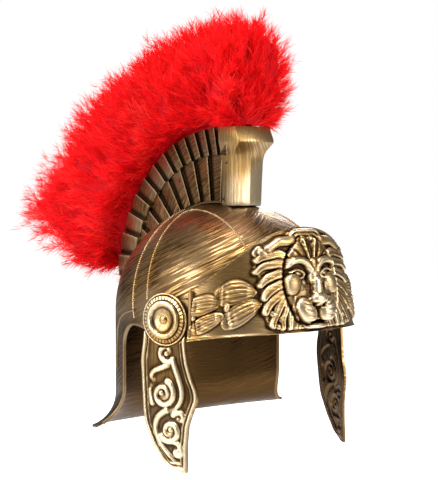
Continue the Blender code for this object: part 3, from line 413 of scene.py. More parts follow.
def bowl_skin(inset):
    """Points of one skin of the bowl, rows from beside the crown down to the neck guard's rim."""
    turn = 2 * np.pi * np.arange(BOWL_COLUMNS) / BOWL_COLUMNS
    x, y = plan_curve(turn, inset)
    nx, ny = plan_normal(*plan_curve(turn))
    rows = []
    for lift in np.radians(np.linspace(90, 0, DOME_ROWS + 1))[1:]:
        height = np.full(BOWL_COLUMNS, (BOWL_HEIGHT - inset) * math.sin(lift))
        rows.append(np.stack([x * math.cos(lift), y * math.cos(lift), height], -1))
    crease, tilt_end, radius = neck_curve(turn, y)
    for row in range(1, WALL_ROWS):
        rows.append(np.stack([x, y, crease * row / WALL_ROWS], -1))
    for share in np.linspace(0, 1, FLARE_ROWS + 1):
        out = (radius + inset) * (1 - np.cos(tilt_end * share))
        height = crease - (radius + inset) * np.sin(tilt_end * share)
        rows.append(np.stack([x + nx * out, y + ny * out, height], -1))
    return np.array(rows)


# The edge's rise from the temple to the ear arch: how far behind the pivot, and share of the rise.
TEMPLE_RISE = ((0.012, 0), (0.018, 1 / 15), (0.024, 4 / 15), (0.034, 0.7), (0.041, 14 / 15))
BEYOND = 0.2


def side_profile():
    """The edge behind the temple, round the ear arch and down the neck guard's front, as (y, z) points."""
    temple = [(PIVOT_BACK + back, TEMPLE_EDGE + (EAR_ARCH_TOP - TEMPLE_EDGE) * rise)
              for back, rise in TEMPLE_RISE]
    arch = [(NECK_FRONT - EAR_ARCH_RADIUS * (1 - math.sin(turn)),
             EAR_ARCH_TOP - EAR_ARCH_RADIUS * (1 - math.cos(turn)))
            for turn in np.radians(np.linspace(0, 90, 21))]
    sweep = [(NECK_FRONT + NECK_CORNER_SWEEP * share**1.7, NECK_CREASE - FLARE_DROP * share)
             for share in np.linspace(0, 1, 9)]
    return temple, arch, sweep


def shell_piece(finish):
    """The bowl's wall, cut open for the face and the ears."""
    points = [np.array([[0, 0, BOWL_HEIGHT], [0, 0, BOWL_HEIGHT - WALL]])]
    faces, lasts, start = [], [], 2
    for crown, inset in enumerate((0, WALL)):
        skin = bowl_skin(inset)
        points.append(skin.reshape(-1, 3))
        faces += grid_faces(len(skin), BOWL_COLUMNS, start, wrap=True)
        faces += [(crown, start + i, start + (i + 1) % BOWL_COLUMNS) for i in range(BOWL_COLUMNS)]
        start += len(skin) * BOWL_COLUMNS
        lasts.append(start - BOWL_COLUMNS)
    for i in range(BOWL_COLUMNS):
        after = (i + 1) % BOWL_COLUMNS
        faces.append((lasts[0] + i, lasts[0] + after, lasts[1] + after, lasts[1] + i))
    obj = new_object("shell_wall", lowered(np.concatenate(points)), faces)
    outward(obj)

    temple, arch, sweep = side_profile()
    below = NECK_CREASE - 2 * FLARE_DROP
    outline = [(-BEYOND, BROW_EDGE), (PIVOT_BACK - BROW_STEP_FRONT, BROW_EDGE),
               (PIVOT_BACK - BROW_STEP_BACK, TEMPLE_EDGE), *temple, *arch, *sweep,
               (NECK_FRONT + 1.6 * NECK_CORNER_SWEEP, below), (-BEYOND, below)]
    ends = [(x, y, z) for x in (-BEYOND, BEYOND) for y, z in outline]
    cutter = new_object("opening", lowered(ends), capped_rings(2, len(outline)))
    outward(cutter)
    step = obj.modifiers.new("open", "BOOLEAN")
    step.operation = "DIFFERENCE"
    step.solver = "EXACT"
    step.object = cutter
    bake(obj)
    bpy.data.objects.remove(cutter)
    settle(obj, finish, replaces="shell")
    bowl_grain(obj)


def surface_x(y, z):
    """Half width of the bowl's outside at a place in side view."""
    reach = np.where(y > 0, BOWL_REAR, BOWL_FRONT)
    scale = np.sqrt(np.clip(1 - (np.maximum(z, 0) / BOWL_HEIGHT) ** 2, 0, 1))
    share = np.clip(1 - np.abs(y / (reach * np.maximum(scale, 1e-6))) ** PLAN_POWER, 0, 1)
    return BOWL_HALF_WIDTH * scale * share ** (1 / PLAN_POWER)


def surface_z(x, y):
    """Height of the dome's outside over a place in plan."""
    reach = np.where(y > 0, BOWL_REAR, BOWL_FRONT)
    plan = np.abs(x / BOWL_HALF_WIDTH) ** PLAN_POWER + np.abs(y / reach) ** PLAN_POWER
    return BOWL_HEIGHT * np.sqrt(np.clip(1 - plan ** (2 / PLAN_POWER), 0, 1))


def on_side(y, z, inset=0.0):
    """A point of the bowl's right side, given in side view."""
    return (inset - float(surface_x(y, z)), y, z)


def on_dome(x, y):
    """A point of the dome, given in plan."""
    return (x, y, float(surface_z(x, y)))


def tube(name, path, radius, finish, sides=8):
    """A round rod along a path of points."""
    path = np.asarray(path, dtype=float)
    run = unit(np.gradient(path, axis=0))
    beside = np.cross(run, (1.0, 0.0, 0.0))
    beside /= np.maximum(np.linalg.norm(beside, axis=1, keepdims=True), 1e-9)
    other = np.cross(run, beside)
    turn = (2 * np.pi * np.arange(sides) / sides)[None, :, None]
    ring = path[:, None] + radius * (beside[:, None] * np.cos(turn) + other[:, None] * np.sin(turn))
    add_piece(name, ring, capped_rings(len(path), sides), finish)


def flare_half_width(y, z):
    """Half width of the middle of the neck guard's wall at a place in side view."""
    low, high = 0.0, math.radians(70)
    for _ in range(40):
        turn = (low + high) / 2
        x_at, y_at = plan_curve(turn, WALL / 2)
        nx, ny = plan_normal(*plan_curve(turn))
        crease, _, radius = neck_curve(turn, y_at)
        radius += WALL / 2
        out = radius * (1 - np.sqrt(1 - np.clip((crease - z) / radius, 0, 1) ** 2))
        if y_at + ny * out < y:
            low = turn
        else:
            high = turn
    return float(x_at + nx * out)


def rim_path():
    """The rolled edge of the ear arch and the neck guard's front, on the wearer's right."""
    temple, arch, sweep = side_profile()
    path = [on_side(y, z, WALL / 2) for y, z in [*temple, *arch[1:]]]
    x, y, _ = on_side(NECK_FRONT, 0.0, WALL / 2)
    path += [(x, y, z) for z in np.linspace(arch[-1][1], NECK_CREASE, 9)[1:-1]]
    return path + [(-flare_half_width(y, z), y, z) for y, z in sweep]


def instance_group(name, inputs, nodes, links, finish):
    """A node group that sets copies of a shape on points, makes them real and paints them.

    Inputs are rows of name and kind, nodes rows of name, kind and settings, and links rows of the node
    and socket that each comes from and goes to.
    """
    group = bpy.data.node_groups.new(name, "GeometryNodeTree")
    for label, kind in (("Geometry", "Geometry"), *inputs):
        group.interface.new_socket(label, in_out="INPUT", socket_type="NodeSocket" + kind)
    group.interface.new_socket("Geometry", in_out="OUTPUT", socket_type="NodeSocketGeometry")
    made = {}
    for label, kind, settings in (
        ("inside", "NodeGroupInput", {}), *nodes,
        ("place", "GeometryNodeInstanceOnPoints", {}), ("real", "GeometryNodeRealizeInstances", {}),
        ("paint", "GeometryNodeSetMaterial", {}), ("out", "NodeGroupOutput", {}),
    ):
        made[label] = group.nodes.new(kind)
        for setting, value in settings.items():
            setattr(made[label], setting, value)
    made["paint"].inputs["Material"].default_value = finish
    tail = (("place", "Instances", "real", "Geometry"), ("real", "Geometry", "paint", "Geometry"),
            ("paint", "Geometry", "out", "Geometry"))
    for source, output, target, socket in (*links, *tail):
        group.links.new(made[source].outputs[output], made[target].inputs[socket])
    return group, made


def run_group(obj, group, values):
    """Runs a node group with its named inputs set, and makes the result the object's own mesh."""
    step = obj.modifiers.new("nodes", "NODES")
    step.node_group = group
    for item in group.interface.items_tree:
        if item.name in values:
            step[item.identifier] = values[item.name]
    bake(obj)


def bead_strip(name, path, group, finish):
    """Small balls along a path."""
    edges = [(i, i + 1) for i in range(len(path) - 1)]
    obj = new_object(name, lowered(path), edges=edges)
    run_group(obj, group, {"Bead Radius": BEAD_RADIUS, "Spacing": BEAD_SPACING})
    settle(obj, finish)


def bead_group(finish):
    """Balls at even distances along a line."""
    group, made = instance_group(
        "bead_row",
        (("Bead Radius", "Float"), ("Spacing", "Float")),
        (("curve", "GeometryNodeMeshToCurve", {}), ("spread", "GeometryNodeCurveToPoints", {"mode": "LENGTH"}),
         ("ball", "GeometryNodeMeshIcoSphere", {})),
        (("inside", "Geometry", "curve", "Mesh"), ("curve", "Curve", "spread", "Curve"),
         ("inside", "Spacing", "spread", "Length"), ("inside", "Bead Radius", "ball", "Radius"),
         ("spread", "Points", "place", "Points"), ("ball", "Mesh", "place", "Instance")),
        finish,
    )
    made["ball"].inputs["Subdivisions"].default_value = BEAD_SUBDIVISIONS
    return group


# The raised line behind each ear arch in side view: back and height.
ARCH_LINE = (
    (0.004, 0.0052), (0.013, 0.0040), (0.028, 0.0005), (0.040, -0.006),
    (0.047, -0.016), (0.050, -0.030), (0.0505, -0.046), (0.0505, -0.064),
)
# Beaded lines over each side of the dome in side view: foot, what each runs back and up, and its bend.
DOME_LINES = (
    ("front", (-0.0085, 0.016), (0.020, 0.0755), 1.1),
    ("rear", (0.010, -0.002), (0.0165, 0.097), 0.9),
)
LINE_STEPS = 30
LINE_TURN_RADIUS = 0.008
LINE_SLANT = 0.006
LINE_END = -0.079
REAR_LINE_END_HALF_WIDTH = 0.020


def dome_lines():
    """The lines on the right. The front one turns forward beside the crest box."""
    shares = np.linspace(0, 1, LINE_STEPS + 1)
    front, rear = (
        [on_side(foot_y + back * share**bend, foot_z + up * share) for share in shares]
        for _, (foot_y, foot_z), (back, up), bend in DOME_LINES
    )
    x, y, _ = front[-1]
    for turn in np.radians(np.linspace(0, 90, 9))[1:]:
        front.append(on_dome(x + LINE_TURN_RADIUS * math.sin(turn), y - LINE_TURN_RADIUS * (1 - math.cos(turn))))
    x, y, _ = front[-1]
    front += [on_dome(x - LINE_SLANT * share, y + (LINE_END - y) * share) for share in shares[1:]]
    return front, [place for place in rear if -place[0] > REAR_LINE_END_HALF_WIDTH]


# Heights of relief, on plain coordinates in metres


def oval_reach(u, v, centre_u, centre_v, half_u, half_v, degrees):
    """Square of how far out each place lies from a turned oval's middle, 1 at its edge."""
    turn = math.radians(degrees)
    du, dv = u - centre_u, v - centre_v
    along = (du * math.cos(turn) + dv * math.sin(turn)) / half_u
    beside = (-du * math.sin(turn) + dv * math.cos(turn)) / half_v
    return along**2 + beside**2


def oval(u, v, centre_u, centre_v, half_u, half_v, degrees, power):
    return np.clip(1 - oval_reach(u, v, centre_u, centre_v, half_u, half_v, degrees), 0, None) ** power


def soft(u, v, centre_u, centre_v, half_u, half_v, degrees=0.0):
    """A bell that fades out smoothly past its half sizes."""
    return np.exp(-1.4 * oval_reach(u, v, centre_u, centre_v, half_u, half_v, degrees))


def along_path(u, v, path):
    """Distance to a path of points, and how far along it the nearest place lies, from 0 to 1."""
    path = np.asarray(path, dtype=float)
    steps = np.hypot(*np.diff(path, axis=0).T)
    reached = np.concatenate([[0], np.cumsum(steps)])
    best = np.full(u.shape, 1e9)
    share = np.zeros(u.shape)
    side = np.zeros(u.shape)
    for i in range(len(path) - 1):
        a, run = path[i], path[i + 1] - path[i]
        t = ((u - a[0]) * run[0] + (v - a[1]) * run[1]) / max(run @ run, 1e-18)
        t = np.clip(t, 0, 1)
        du, dv = u - a[0] - t * run[0], v - a[1] - t * run[1]
        d = np.hypot(du, dv)
        near = d < best
        best = np.where(near, d, best)
        share = np.where(near, (reached[i] + t * steps[i]) / reached[-1], share)
        side = np.where(near, np.sign(run[0] * dv - run[1] * du), side)
    return best, share, side


def curve_points(a, b, c, steps=10):
    """A bent line from a to c, drawn towards b."""
    t = np.linspace(0, 1, steps + 1)[:, None]
    a, b, c = np.array(a, float), np.array(b, float), np.array(c, float)
    return (1 - t) ** 2 * a + 2 * t * (1 - t) * b + t**2 * c


def smooth_path(path, whole):
    """A curve drawn towards a path's inner points, from its first point to its last if whole."""
    path = np.asarray(path, dtype=float)
    middles = (path[:-1] + path[1:]) / 2
    if whole:
        middles[0], middles[-1] = path[0], path[-1]
    return np.concatenate([curve_points(a, b, c, 6) for a, b, c in zip(middles, path[1:-1], middles[1:])])


def ridge(u, v, path, width_start, width_end, rise):
    """A rounded ridge along a path that narrows to its end."""
    distance, share, _ = along_path(u, v, path)
    across = np.clip(distance / (width_start + (width_end - width_start) * share), 0, 1)
    return rise * np.sqrt(np.clip(1 - across**2, 0, 1)) * np.clip((1 - share) * 5, 0.25, 1)


# Forms of the lion's face in millimetres: centre across and up, half sizes, turn in degrees, the level
# that the form starts from and its own rise. They lie over one another, with creases between them.
FACE_FORMS = (
    ("skull", 0, 31, 29.5, 42, 0, 2.2, 6.0),
    ("forehead", 12.6, 59.5, 12.6, 9.6, -28, 5.4, 4.0),
    ("eyeball", 16.0, 40.8, 4.8, 3.0, 8, 4.6, 2.8),
    ("cheek", 22.4, 31.4, 9.0, 10.8, 28, 4.6, 5.6),
    ("under_eye", 15.5, 29.5, 5.0, 6.4, -25, 5.4, 2.8),
    ("nostril_wing", 7.2, 17.4, 4.4, 3.8, 0, 8.2, 4.4),
    ("muzzle", 12.2, 8.6, 13.4, 9.8, 62, 5.4, 8.4),
    ("nose_tip", 0, 18.8, 9.4, 6.4, 0, 10.6, 7.0),
    ("chin", 0, -5.6, 13.5, 3.8, 0, 2.6, 5.4),
)
# Ridges of the face in millimetres: from, bent towards, to, half width at both ends, level and rise.
FACE_RIDGES = (
    ("brow", 3.0, 43.8, 12, 59.5, 30.0, 47.0, 4.8, 3.8, 6.0, 6.2),
    ("upper_lid", 9.0, 39.2, 15, 46.8, 23.6, 42.0, 1.7, 1.3, 5.8, 3.0),
    ("lower_lid", 9.2, 38.4, 16, 34.0, 23.0, 40.0, 1.5, 1.2, 5.4, 2.4),
    ("nose", 0, 50, 0, 36, 0, 19, 5.2, 9.0, 7.2, 4.6),
    ("nose_front", 0, 34, 0, 26, 0, 18, 5.0, 8.0, 9.0, 6.0),
    ("jowl", 21.5, 21, 23.5, 10, 20.5, 0, 2.6, 2.0, 3.0, 3.4),
    ("lip", 1.5, -6.4, 13, -8.8, 24.5, -1.0, 2.2, 1.7, 1.8, 3.4),
    ("frown", 2.6, 49, 3.2, 59, 7.0, 70, 2.8, 2.2, 4.8, 4.2),
    ("frown_side", 6.0, 51, 10.0, 60, 16.5, 67, 2.4, 1.8, 4.8, 4.0),
)
FACE_HOLLOWS = (
    ("eye_hollow", 15.0, 41.2, 9.6, 5.8, 8, 4.4),
    ("inner_corner", 7.2, 37.4, 2.4, 4.2, 0, 5.0),
    ("nostril", 4.8, 13.6, 2.8, 2.0, -20, 6.0),
    ("philtrum", 0, 8.0, 1.5, 6.4, 0, 5.0),
    ("mouth", 0, -1.9, 15.5, 1.4, 0, 4.6),
)
# Cut lines of the face in millimetres: from, bent towards, to, half width and depth.
FACE_FURROWS = (
    ("furrow_inner", 4.6, 51, 6.6, 60, 12.0, 70, 0.9, 1.3),
    ("furrow_outer", 11.0, 54.0, 15.0, 60.5, 22.5, 64, 0.9, 1.2),
    ("brow_line", 5.5, 43.5, 13.0, 52.0, 26.0, 46.5, 0.8, 0.9),
    ("muzzle_line_1", 8.0, 13.5, 13.0, 13.5, 18.0, 16.5, 0.7, 0.7),
    ("muzzle_line_2", 7.0, 9.0, 12.0, 8.0, 17.5, 10.5, 0.7, 0.7),
    ("muzzle_line_3", 6.0, 4.5, 11.0, 3.0, 15.5, 4.5, 0.7, 0.7),
)
# Painted shade on the face, in millimetres: centre, half sizes and strength.
FACE_SHADE = (
    ("forehead", 9.0, 62.0, 12.0, 8.0, 0.55),
    ("beside_nose", 9.5, 30.0, 3.6, 8.0, 0.75),
    ("eye", 14.0, 43.5, 7.0, 3.0, 0.60),
    ("mouth", 0.0, -3.5, 24.0, 2.6, 0.60),
    ("lower_mane", 40.0, -2.0, 12.0, 8.0, 0.35),
)
# Outline of the mane on one side of the face, in millimetres, from the top middle to the bottom middle.
MANE_OUTLINE = (
    (-5, 80.2), (9, 80.0), (19, 77.6), (29, 72.5), (38, 68.0), (47, 64.2), (52, 59.0), (50.5, 53.0),
    (54, 47.5), (53.5, 41.5), (50.5, 36.0), (51.5, 30.5), (49.0, 24.5), (51.0, 18.0), (49.0, 12.0),
    (51.0, 4.5), (47.5, -4.0), (41.0, -8.6), (34.0, -8.2), (27.0, -9.2), (14.0, -9.6), (-5, -9.6),
)
MANE_LEVEL = 2.5
MANE_EDGE = 1.7
MANE_MIDDLE = 32
STRANDS = 64
STRAND_RISE = 0.22
# Locks of the mane in millimetres: root, bend and tip, half width at root and tip, level and rise.
LOCKS = (
    ("crown_inner", 0.5, 71.5, 6, 73.5, 10.5, 68.5, 2.3, 1.8, 2.6, 2.8),
    ("crown_middle", 0.5, 75.0, 10, 77.0, 15.0, 69.5, 2.4, 1.9, 2.4, 2.8),
    ("crown_outer", 1.0, 78.4, 14, 80.0, 20.0, 70.5, 2.4, 2.0, 2.2, 2.8),
    ("smooth_plate", 17, 70.0, 30, 69.0, 40, 62.8, 5.4, 4.2, 2.2, 4.6),
    ("side_1", 28, 56.5, 38, 60.5, 51, 52.0, 5.4, 3.2, 2.6, 3.6),
    ("side_2", 29, 48.5, 41, 52.5, 52, 42.5, 5.8, 3.2, 2.6, 3.9),
    ("side_3", 30, 40.0, 41, 42.5, 50, 31.0, 5.8, 3.4, 2.6, 4.0),
    ("side_4", 31, 31.0, 41, 32.0, 49, 19.5, 5.8, 3.4, 2.6, 4.0),
    ("side_5", 31, 23.0, 41, 23.0, 49.5, 7.0, 5.6, 3.2, 2.6, 3.9),
    ("low_1", 30, 19.0, 39, 14.0, 44.5, -4.0, 5.4, 3.0, 2.6, 3.9),
    ("low_2", 26, 19.0, 33, 9.0, 36.5, -6.0, 4.8, 2.8, 2.6, 3.8),
    ("low_3", 24, 8.0, 28, 3.0, 29.0, -7.5, 4.2, 2.4, 2.4, 3.4),
)
LOCK_STRANDS = 2
# Rounded ends and the ear, in millimetres: centre, radius, level and rise.
CURLS = (
    ("ear_rim", 46.2, 58.4, 6.6, 2.0, 2.0),
    ("ear", 44.8, 58.6, 4.5, 3.2, 3.4),
    ("forelock", 4.2, 71.5, 3.4, 3.4, 3.4),
    ("curl_1", 36.0, 2.0, 3.4, 3.4, 3.2),
    ("curl_2", 43.5, 6.5, 3.2, 3.2, 3.2),
    ("curl_3", 40.0, -3.4, 3.2, 3.0, 3.2),
)
# The face's outline and the groove round it, where the mane closes over it, and the foot of the mask.
FACE_MIDDLE = 31
FACE_HALF_WIDTH = 30.0
FACE_HALF_HEIGHT = 41.5
GROOVE_DEPTH = 2.6
GROOVE_HALF_WIDTH = 1.6
CROWN_FOOT = 63
MASK_FOOT = -0.0092
MM = 0.001


def bent_line(numbers):
    """The curve of a table's row: from, bent towards, to."""
    a, b, c, d, e, f = numbers
    return curve_points((a, b), (c, d), (e, f))


def lump(u, v, cu, cv, hu, hv, degrees, level, rise):
    """A rounded form with a clear edge, standing on a level of its own."""
    inside = oval(u, v, cu, cv, hu, hv, degrees, 1.0)
    return np.where(inside > 0, level * np.clip(inside * 5, 0, 1) + rise * np.sqrt(inside), 0.0)


def roll(u, v, sizes, strands=0):
    """A rounded ridge from a root, bent on its way to its tip."""
    *places_on_it, root_half, tip_half, level, rise = sizes
    distance, share, side = along_path(u, v, bent_line(places_on_it))
    across = distance / (root_half + (tip_half - root_half) * share)
    section = np.sqrt(np.clip(1 - across**2, 0, 1))
    if strands:
        section = section * (1 - 0.22 * (0.5 + 0.5 * np.cos(side * across * np.pi * strands)))
    return np.where(across < 1, level * np.clip((1 - across) * 4, 0, 1) + rise * section, 0.0)


def cut_line(u, v, sizes):
    """A fine valley along a bent line."""
    *places_on_it, half, depth = sizes
    distance, share, _ = along_path(u, v, bent_line(places_on_it))
    ends = np.clip(share * 6, 0, 1) * np.clip((1 - share) * 6, 0, 1)
    return depth * np.exp(-((distance / half) ** 2)) * ends


def depth_inside(u, v, outline):
    """How far each place lies in from a closed outline, and zero outside it."""
    closed = [*outline, outline[0]]
    distance, _, _ = along_path(u, v, closed)
    within = np.zeros(u.shape, dtype=bool)
    for (a, b), (c, d) in zip(closed, closed[1:]):
        if b != d:
            within ^= ((b > v) != (d > v)) & (u < a + (v - b) * (c - a) / (d - b))
    return np.where(within, distance, 0.0)


def mane_height(u, v):
    """One solid mass with fine strands, and broad locks that overlap on it."""
    u, v = u + 0.5 * np.sin(0.40 * v + 0.12 * u), v + 0.6 * np.sin(0.36 * u)
    bearing = np.arctan2(v - MANE_MIDDLE, u)
    strands = STRAND_RISE * np.sin(STRANDS * bearing + 0.30 * np.hypot(u, v - MANE_MIDDLE))
    height = (MANE_LEVEL + strands) * smooth_step(depth_inside(u, v, MANE_OUTLINE) / MANE_EDGE)
    for name, *sizes in LOCKS:
        plain = name.startswith("crown") or name == "smooth_plate"
        height = np.maximum(height, roll(u, v, sizes, 0 if plain else LOCK_STRANDS))
    for _, across, up, radius, level, rise in CURLS:
        height = np.maximum(height, lump(u, v, across, up, radius, radius, 0, level, rise))
    return height


def face_height(u, v):
    """The face alone: a rounded skull with the features over one another on it."""
    face = lump(u, v, *FACE_FORMS[0][1:])
    _, *eye_hollow = FACE_HOLLOWS[0]
    face = face - eye_hollow[-1] * soft(u, v, *eye_hollow[:-1])
    for _, *sizes in FACE_FORMS[1:]:
        face = np.maximum(face, lump(u, v, *sizes))
    for _, *sizes in FACE_RIDGES:
        face = np.maximum(face, roll(u, v, sizes))
    for _, *sizes, depth in FACE_HOLLOWS[1:]:
        face = face - depth * soft(u, v, *sizes)
    for _, *sizes in FACE_FURROWS:
        face = face - cut_line(u, v, sizes)
    return face


def lion_height(x, z):
    """The whole mask, mirrored in its middle line, in metres."""
    u, v = np.abs(x) / MM, z / MM
    inner = oval(u, v, 0, FACE_MIDDLE, FACE_HALF_WIDTH, FACE_HALF_HEIGHT, 0, 1.0)
    mane = mane_height(u, v)
    crown = mane * np.clip((v - CROWN_FOOT) / 4, 0, 1)
    height = np.where(inner > 0, np.maximum(face_height(u, v), crown), mane)
    outside = (np.hypot(u / FACE_HALF_WIDTH, (v - FACE_MIDDLE) / FACE_HALF_HEIGHT) - 1) * FACE_HALF_WIDTH
    groove = np.exp(-((outside / GROOVE_HALF_WIDTH) ** 2)) * np.clip((62 - v) / 8, 0, 1)
    height = height - GROOVE_DEPTH * groove * np.clip((v + 4) / 10, 0, 1)
    return np.maximum(height, 0) * MM * np.clip((z - MASK_FOOT) / (2 * MM), 0, 1)


# Leaves on the band: root and tip as shares of the band's length from the middle and of its height,
# then the half width in metres.
LEAVES = (
    ("upper_front", 0.725, 0.61, 0.415, 0.47, 0.0088),
    ("lower_front", 0.665, 0.22, 0.380, 0.34, 0.0080),
    ("upper_rear", 0.990, 0.63, 0.705, 0.50, 0.0100),
    ("lower_rear", 0.935, 0.21, 0.680, 0.31, 0.0082),
)
BERRIES = (("front", 0.655, 0.42, 0.0040), ("rear", 0.945, 0.42, 0.0034), ("rear_low", 0.975, 0.25, 0.0022),
           ("middle", 0.640, 0.20, 0.0022))
LEAF_UNIT = 0.137
LEAF_TALL = 0.050
LEAF_BEND = 0.0018
LEAF_LINES = 6


def leaf_height(along, up):
    """Plump leaves with a round butt, a hollow behind it and fine lines, and berries between them."""
    u, w = np.abs(along) * LEAF_UNIT, up * LEAF_TALL
    height = np.zeros(u.shape)
    for _, root_a, root_u, tip_a, tip_u, half in LEAVES:
        a = (root_a * LEAF_UNIT, root_u * LEAF_TALL)
        c = (tip_a * LEAF_UNIT, tip_u * LEAF_TALL)
        b = ((a[0] + c[0]) / 2, (a[1] + c[1]) / 2 + LEAF_BEND)
        distance, share, side = along_path(u, w, curve_points(a, b, c, 14))
        width = half * np.sin(np.pi * np.clip(0.07 + 0.93 * share, 0, 1) ** 0.62) ** 0.55
        across = distance / np.maximum(width, 1e-5)
        body = np.sqrt(np.clip(1 - across**2, 0, 1))
        lines = 1 - 0.15 * (0.5 + 0.5 * np.cos(side * across * LEAF_LINES * np.pi))
        hollow = 0.42 * np.exp(-((share - 0.16) / 0.10) ** 2 - (across / 0.5) ** 2)
        lift = np.clip(share * 9, 0.3, 1) * np.clip((1 - share) * 4, 0.45, 1)
        height = np.maximum(height, LEAF_RISE * (body * lines * lift - hollow) * (across < 1))
    for _, at, high, radius in BERRIES:
        ball = oval(u, w, at * LEAF_UNIT, high * LEAF_TALL, radius, radius, 0, 0.5)
        height = np.maximum(height, 1.1 * radius * ball)
    return height


# Brow band


def band_edge(along, top):
    end, half_width, reach = (
        (BAND_TOP_END, BAND_TOP_HALF_WIDTH, BAND_TOP_REACH) if top
        else (BAND_BASE_END, BAND_BASE_HALF_WIDTH, BAND_BASE_REACH)
    )
    s, c = np.sin(along * end), np.cos(along * end)
    x = half_width * np.sign(s) * np.abs(s) ** (2 / BAND_POWER)
    y = -reach * np.abs(c) ** (2 / BAND_POWER)
    nx = np.sign(x) * np.abs(x) ** (BAND_POWER - 1) / half_width**BAND_POWER
    ny = -(np.abs(y) ** (BAND_POWER - 1)) / reach**BAND_POWER
    length = np.hypot(nx, ny)
    if top:
        arch = np.cos(along * np.pi / 2 * 0.98) ** 1.5
        z = BAND_TOP_SIDE + (BAND_TOP_PEAK - BAND_TOP_SIDE) * arch
    else:
        z = BAND_BASE_FRONT + (BAND_BASE_SIDE - BAND_BASE_FRONT) * np.abs(along) ** 3
    return np.stack([x, y + PIVOT_BACK, z], -1), np.stack([nx / length, ny / length, 0 * x], -1)


def band_surface(along, up, out):
    """Points over the band's outer face, for arrays of places and heights."""
    low, low_out = band_edge(along, False)
    high, high_out = band_edge(along, True)
    out = out[..., None]
    low, high = low + low_out * out, high + high_out * out
    return low + (high - low) * up[..., None]


def smoothed(height, times):
    for _ in range(times):
        padded = np.pad(height, 1, mode="edge")
        height = (4 * height + padded[:-2, 1:-1] + padded[2:, 1:-1]
                  + padded[1:-1, :-2] + padded[1:-1, 2:]) / 8
    return height


def cavity(height):
    """How far each point lies above (painted bright as a highlight) or below (painted dark as shade) its
    surroundings, from -1 to 1.
    """
    near = (height - smoothed(height, 5)) / 0.00035
    wide = (height - smoothed(height, 45)) / 0.0016
    return np.clip(0.5 * near + 0.95 * wide - 0.06, -1, 1)


def band_piece(finish):
    """The band as one wall, with the mask and the leaves standing out of its outer skin."""
    side = np.linspace(-1, 1, BAND_COLUMNS)
    along, up = np.meshgrid(side, np.linspace(0, 1, BAND_ROWS), indexing="ij")
    flat = band_surface(along, up, np.zeros(along.shape))
    tall = (flat[:, -1, 2] - flat[:, 0, 2])[:, None]
    from_foot, from_top = up * tall, (1 - up) * tall
    height = lion_height(flat[..., 0], flat[..., 2])
    height = np.maximum(height, leaf_height(along, up) * (np.abs(along) > LEAVES_FROM))
    lip = BAND_LIP * np.exp(-((from_foot / BAND_LIP_WIDTH) ** 2))
    top_lip = BAND_TOP_LIP * np.exp(-((from_top / BAND_TOP_LIP_WIDTH) ** 2))
    height = smoothed(height * np.clip(from_foot / 0.003, 0, 1) * np.clip(from_top / 0.002, 0, 1), 1)
    outer = band_surface(along, up, height + lip + top_lip)
    inner = band_surface(along, up, 0.25 * smoothed(height, 6) - BAND_THICKNESS)
    keep = slice(None, None, BAND_BACK_SKIP)
    inner = inner[keep][:, keep]
    rows_in, columns_in = inner.shape[:2]
    points = np.concatenate([outer.reshape(-1, 3), inner.reshape(-1, 3)])
    start = BAND_COLUMNS * BAND_ROWS
    faces = grid_faces(BAND_COLUMNS, BAND_ROWS) + grid_faces(rows_in, columns_in, start, flip=True)
    faces += band_edges(start, rows_in, columns_in)
    obj = add_piece("brow_band_relief", points, faces, finish, replaces="brow_band", closed=False)

    # Painted highlights on what stands out and painted shade in the hollows, then more painted shade over parts of
    # the face.
    wear_and_painted_light = cavity(height)
    across, above = np.abs(flat[..., 0]) / MM, flat[..., 2] / MM
    for _, *sizes, strength in FACE_SHADE:
        wear_and_painted_light = wear_and_painted_light - strength * soft(across, above, *sizes)
    back = np.zeros(rows_in * columns_in)
    set_value(obj, "wear_and_painted_light", np.concatenate([np.clip(wear_and_painted_light, -1, 1).ravel(), back]))
    set_value(obj, "inside", np.concatenate([np.zeros(start), back + 1]))
    reach = along * LEAF_UNIT
    set_grain(obj, np.concatenate([reach.ravel(), reach[keep][:, keep].ravel()]),
              points[:, 2] - np.concatenate([0.12 * np.abs(reach).ravel(), back]))


def band_edges(start, rows_in, columns_in):
    """Joins the fine outer skin to the coarser inner one along the four edges."""
    faces = []
    skip, last_row, last_column = BAND_BACK_SKIP, BAND_COLUMNS - 1, BAND_ROWS - 1
    for i in range(rows_in - 1):
        for edge_out, edge_in in ((0, 0), (last_column, columns_in - 1)):
            fine = [row * BAND_ROWS + edge_out for row in range(skip * i, min(skip * i + skip, last_row) + 1)]
            faces.append((*fine, start + (i + 1) * columns_in + edge_in, start + i * columns_in + edge_in))
    for j in range(columns_in - 1):
        for edge_out, edge_in in ((0, 0), (last_row, rows_in - 1)):
            fine = [edge_out * BAND_ROWS + column
                    for column in range(skip * j, min(skip * j + skip, last_column) + 1)]
            faces.append((*fine, start + edge_in * columns_in + j + 1, start + edge_in * columns_in + j))
    return faces


# Pivot stack


PIVOT = np.array([
    -BOWL_HALF_WIDTH * (1 - (-PIVOT_BACK / BOWL_FRONT) ** PLAN_POWER) ** (1 / PLAN_POWER), PIVOT_BACK, 0.0,
])


FORWARD = np.array([math.sin(PIVOT_TURN), -math.cos(PIVOT_TURN), 0.0])
UPWARD = np.array([0.0, 0.0, 1.0])
OUTWARD = np.array([-math.cos(PIVOT_TURN), -math.sin(PIVOT_TURN), 0.0])


def from_pivot(forward, up, out):
    """Points of the right side, given along the cheek guard's own directions from its pivot."""
    forward, up, out = (values[..., None] for values in np.broadcast_arrays(forward, up, out))
    return PIVOT + forward * FORWARD + up * UPWARD + out * OUTWARD


def both_sides(name, points, faces, finish, replaces=None, body=None, bevel=None):
    """The wearer's right piece and its mirror image on the left."""
    made = []
    for side in ("right", "left"):
        if side == "left":
            points, faces = mirrored(points), [tuple(reversed(face)) for face in faces]
        made.append(add_piece(
            name + "_" + side, points, faces, finish, body + "_" + side if body else "root",
            replaces + "_" + side if replaces else None, bevel=bevel))
    return made


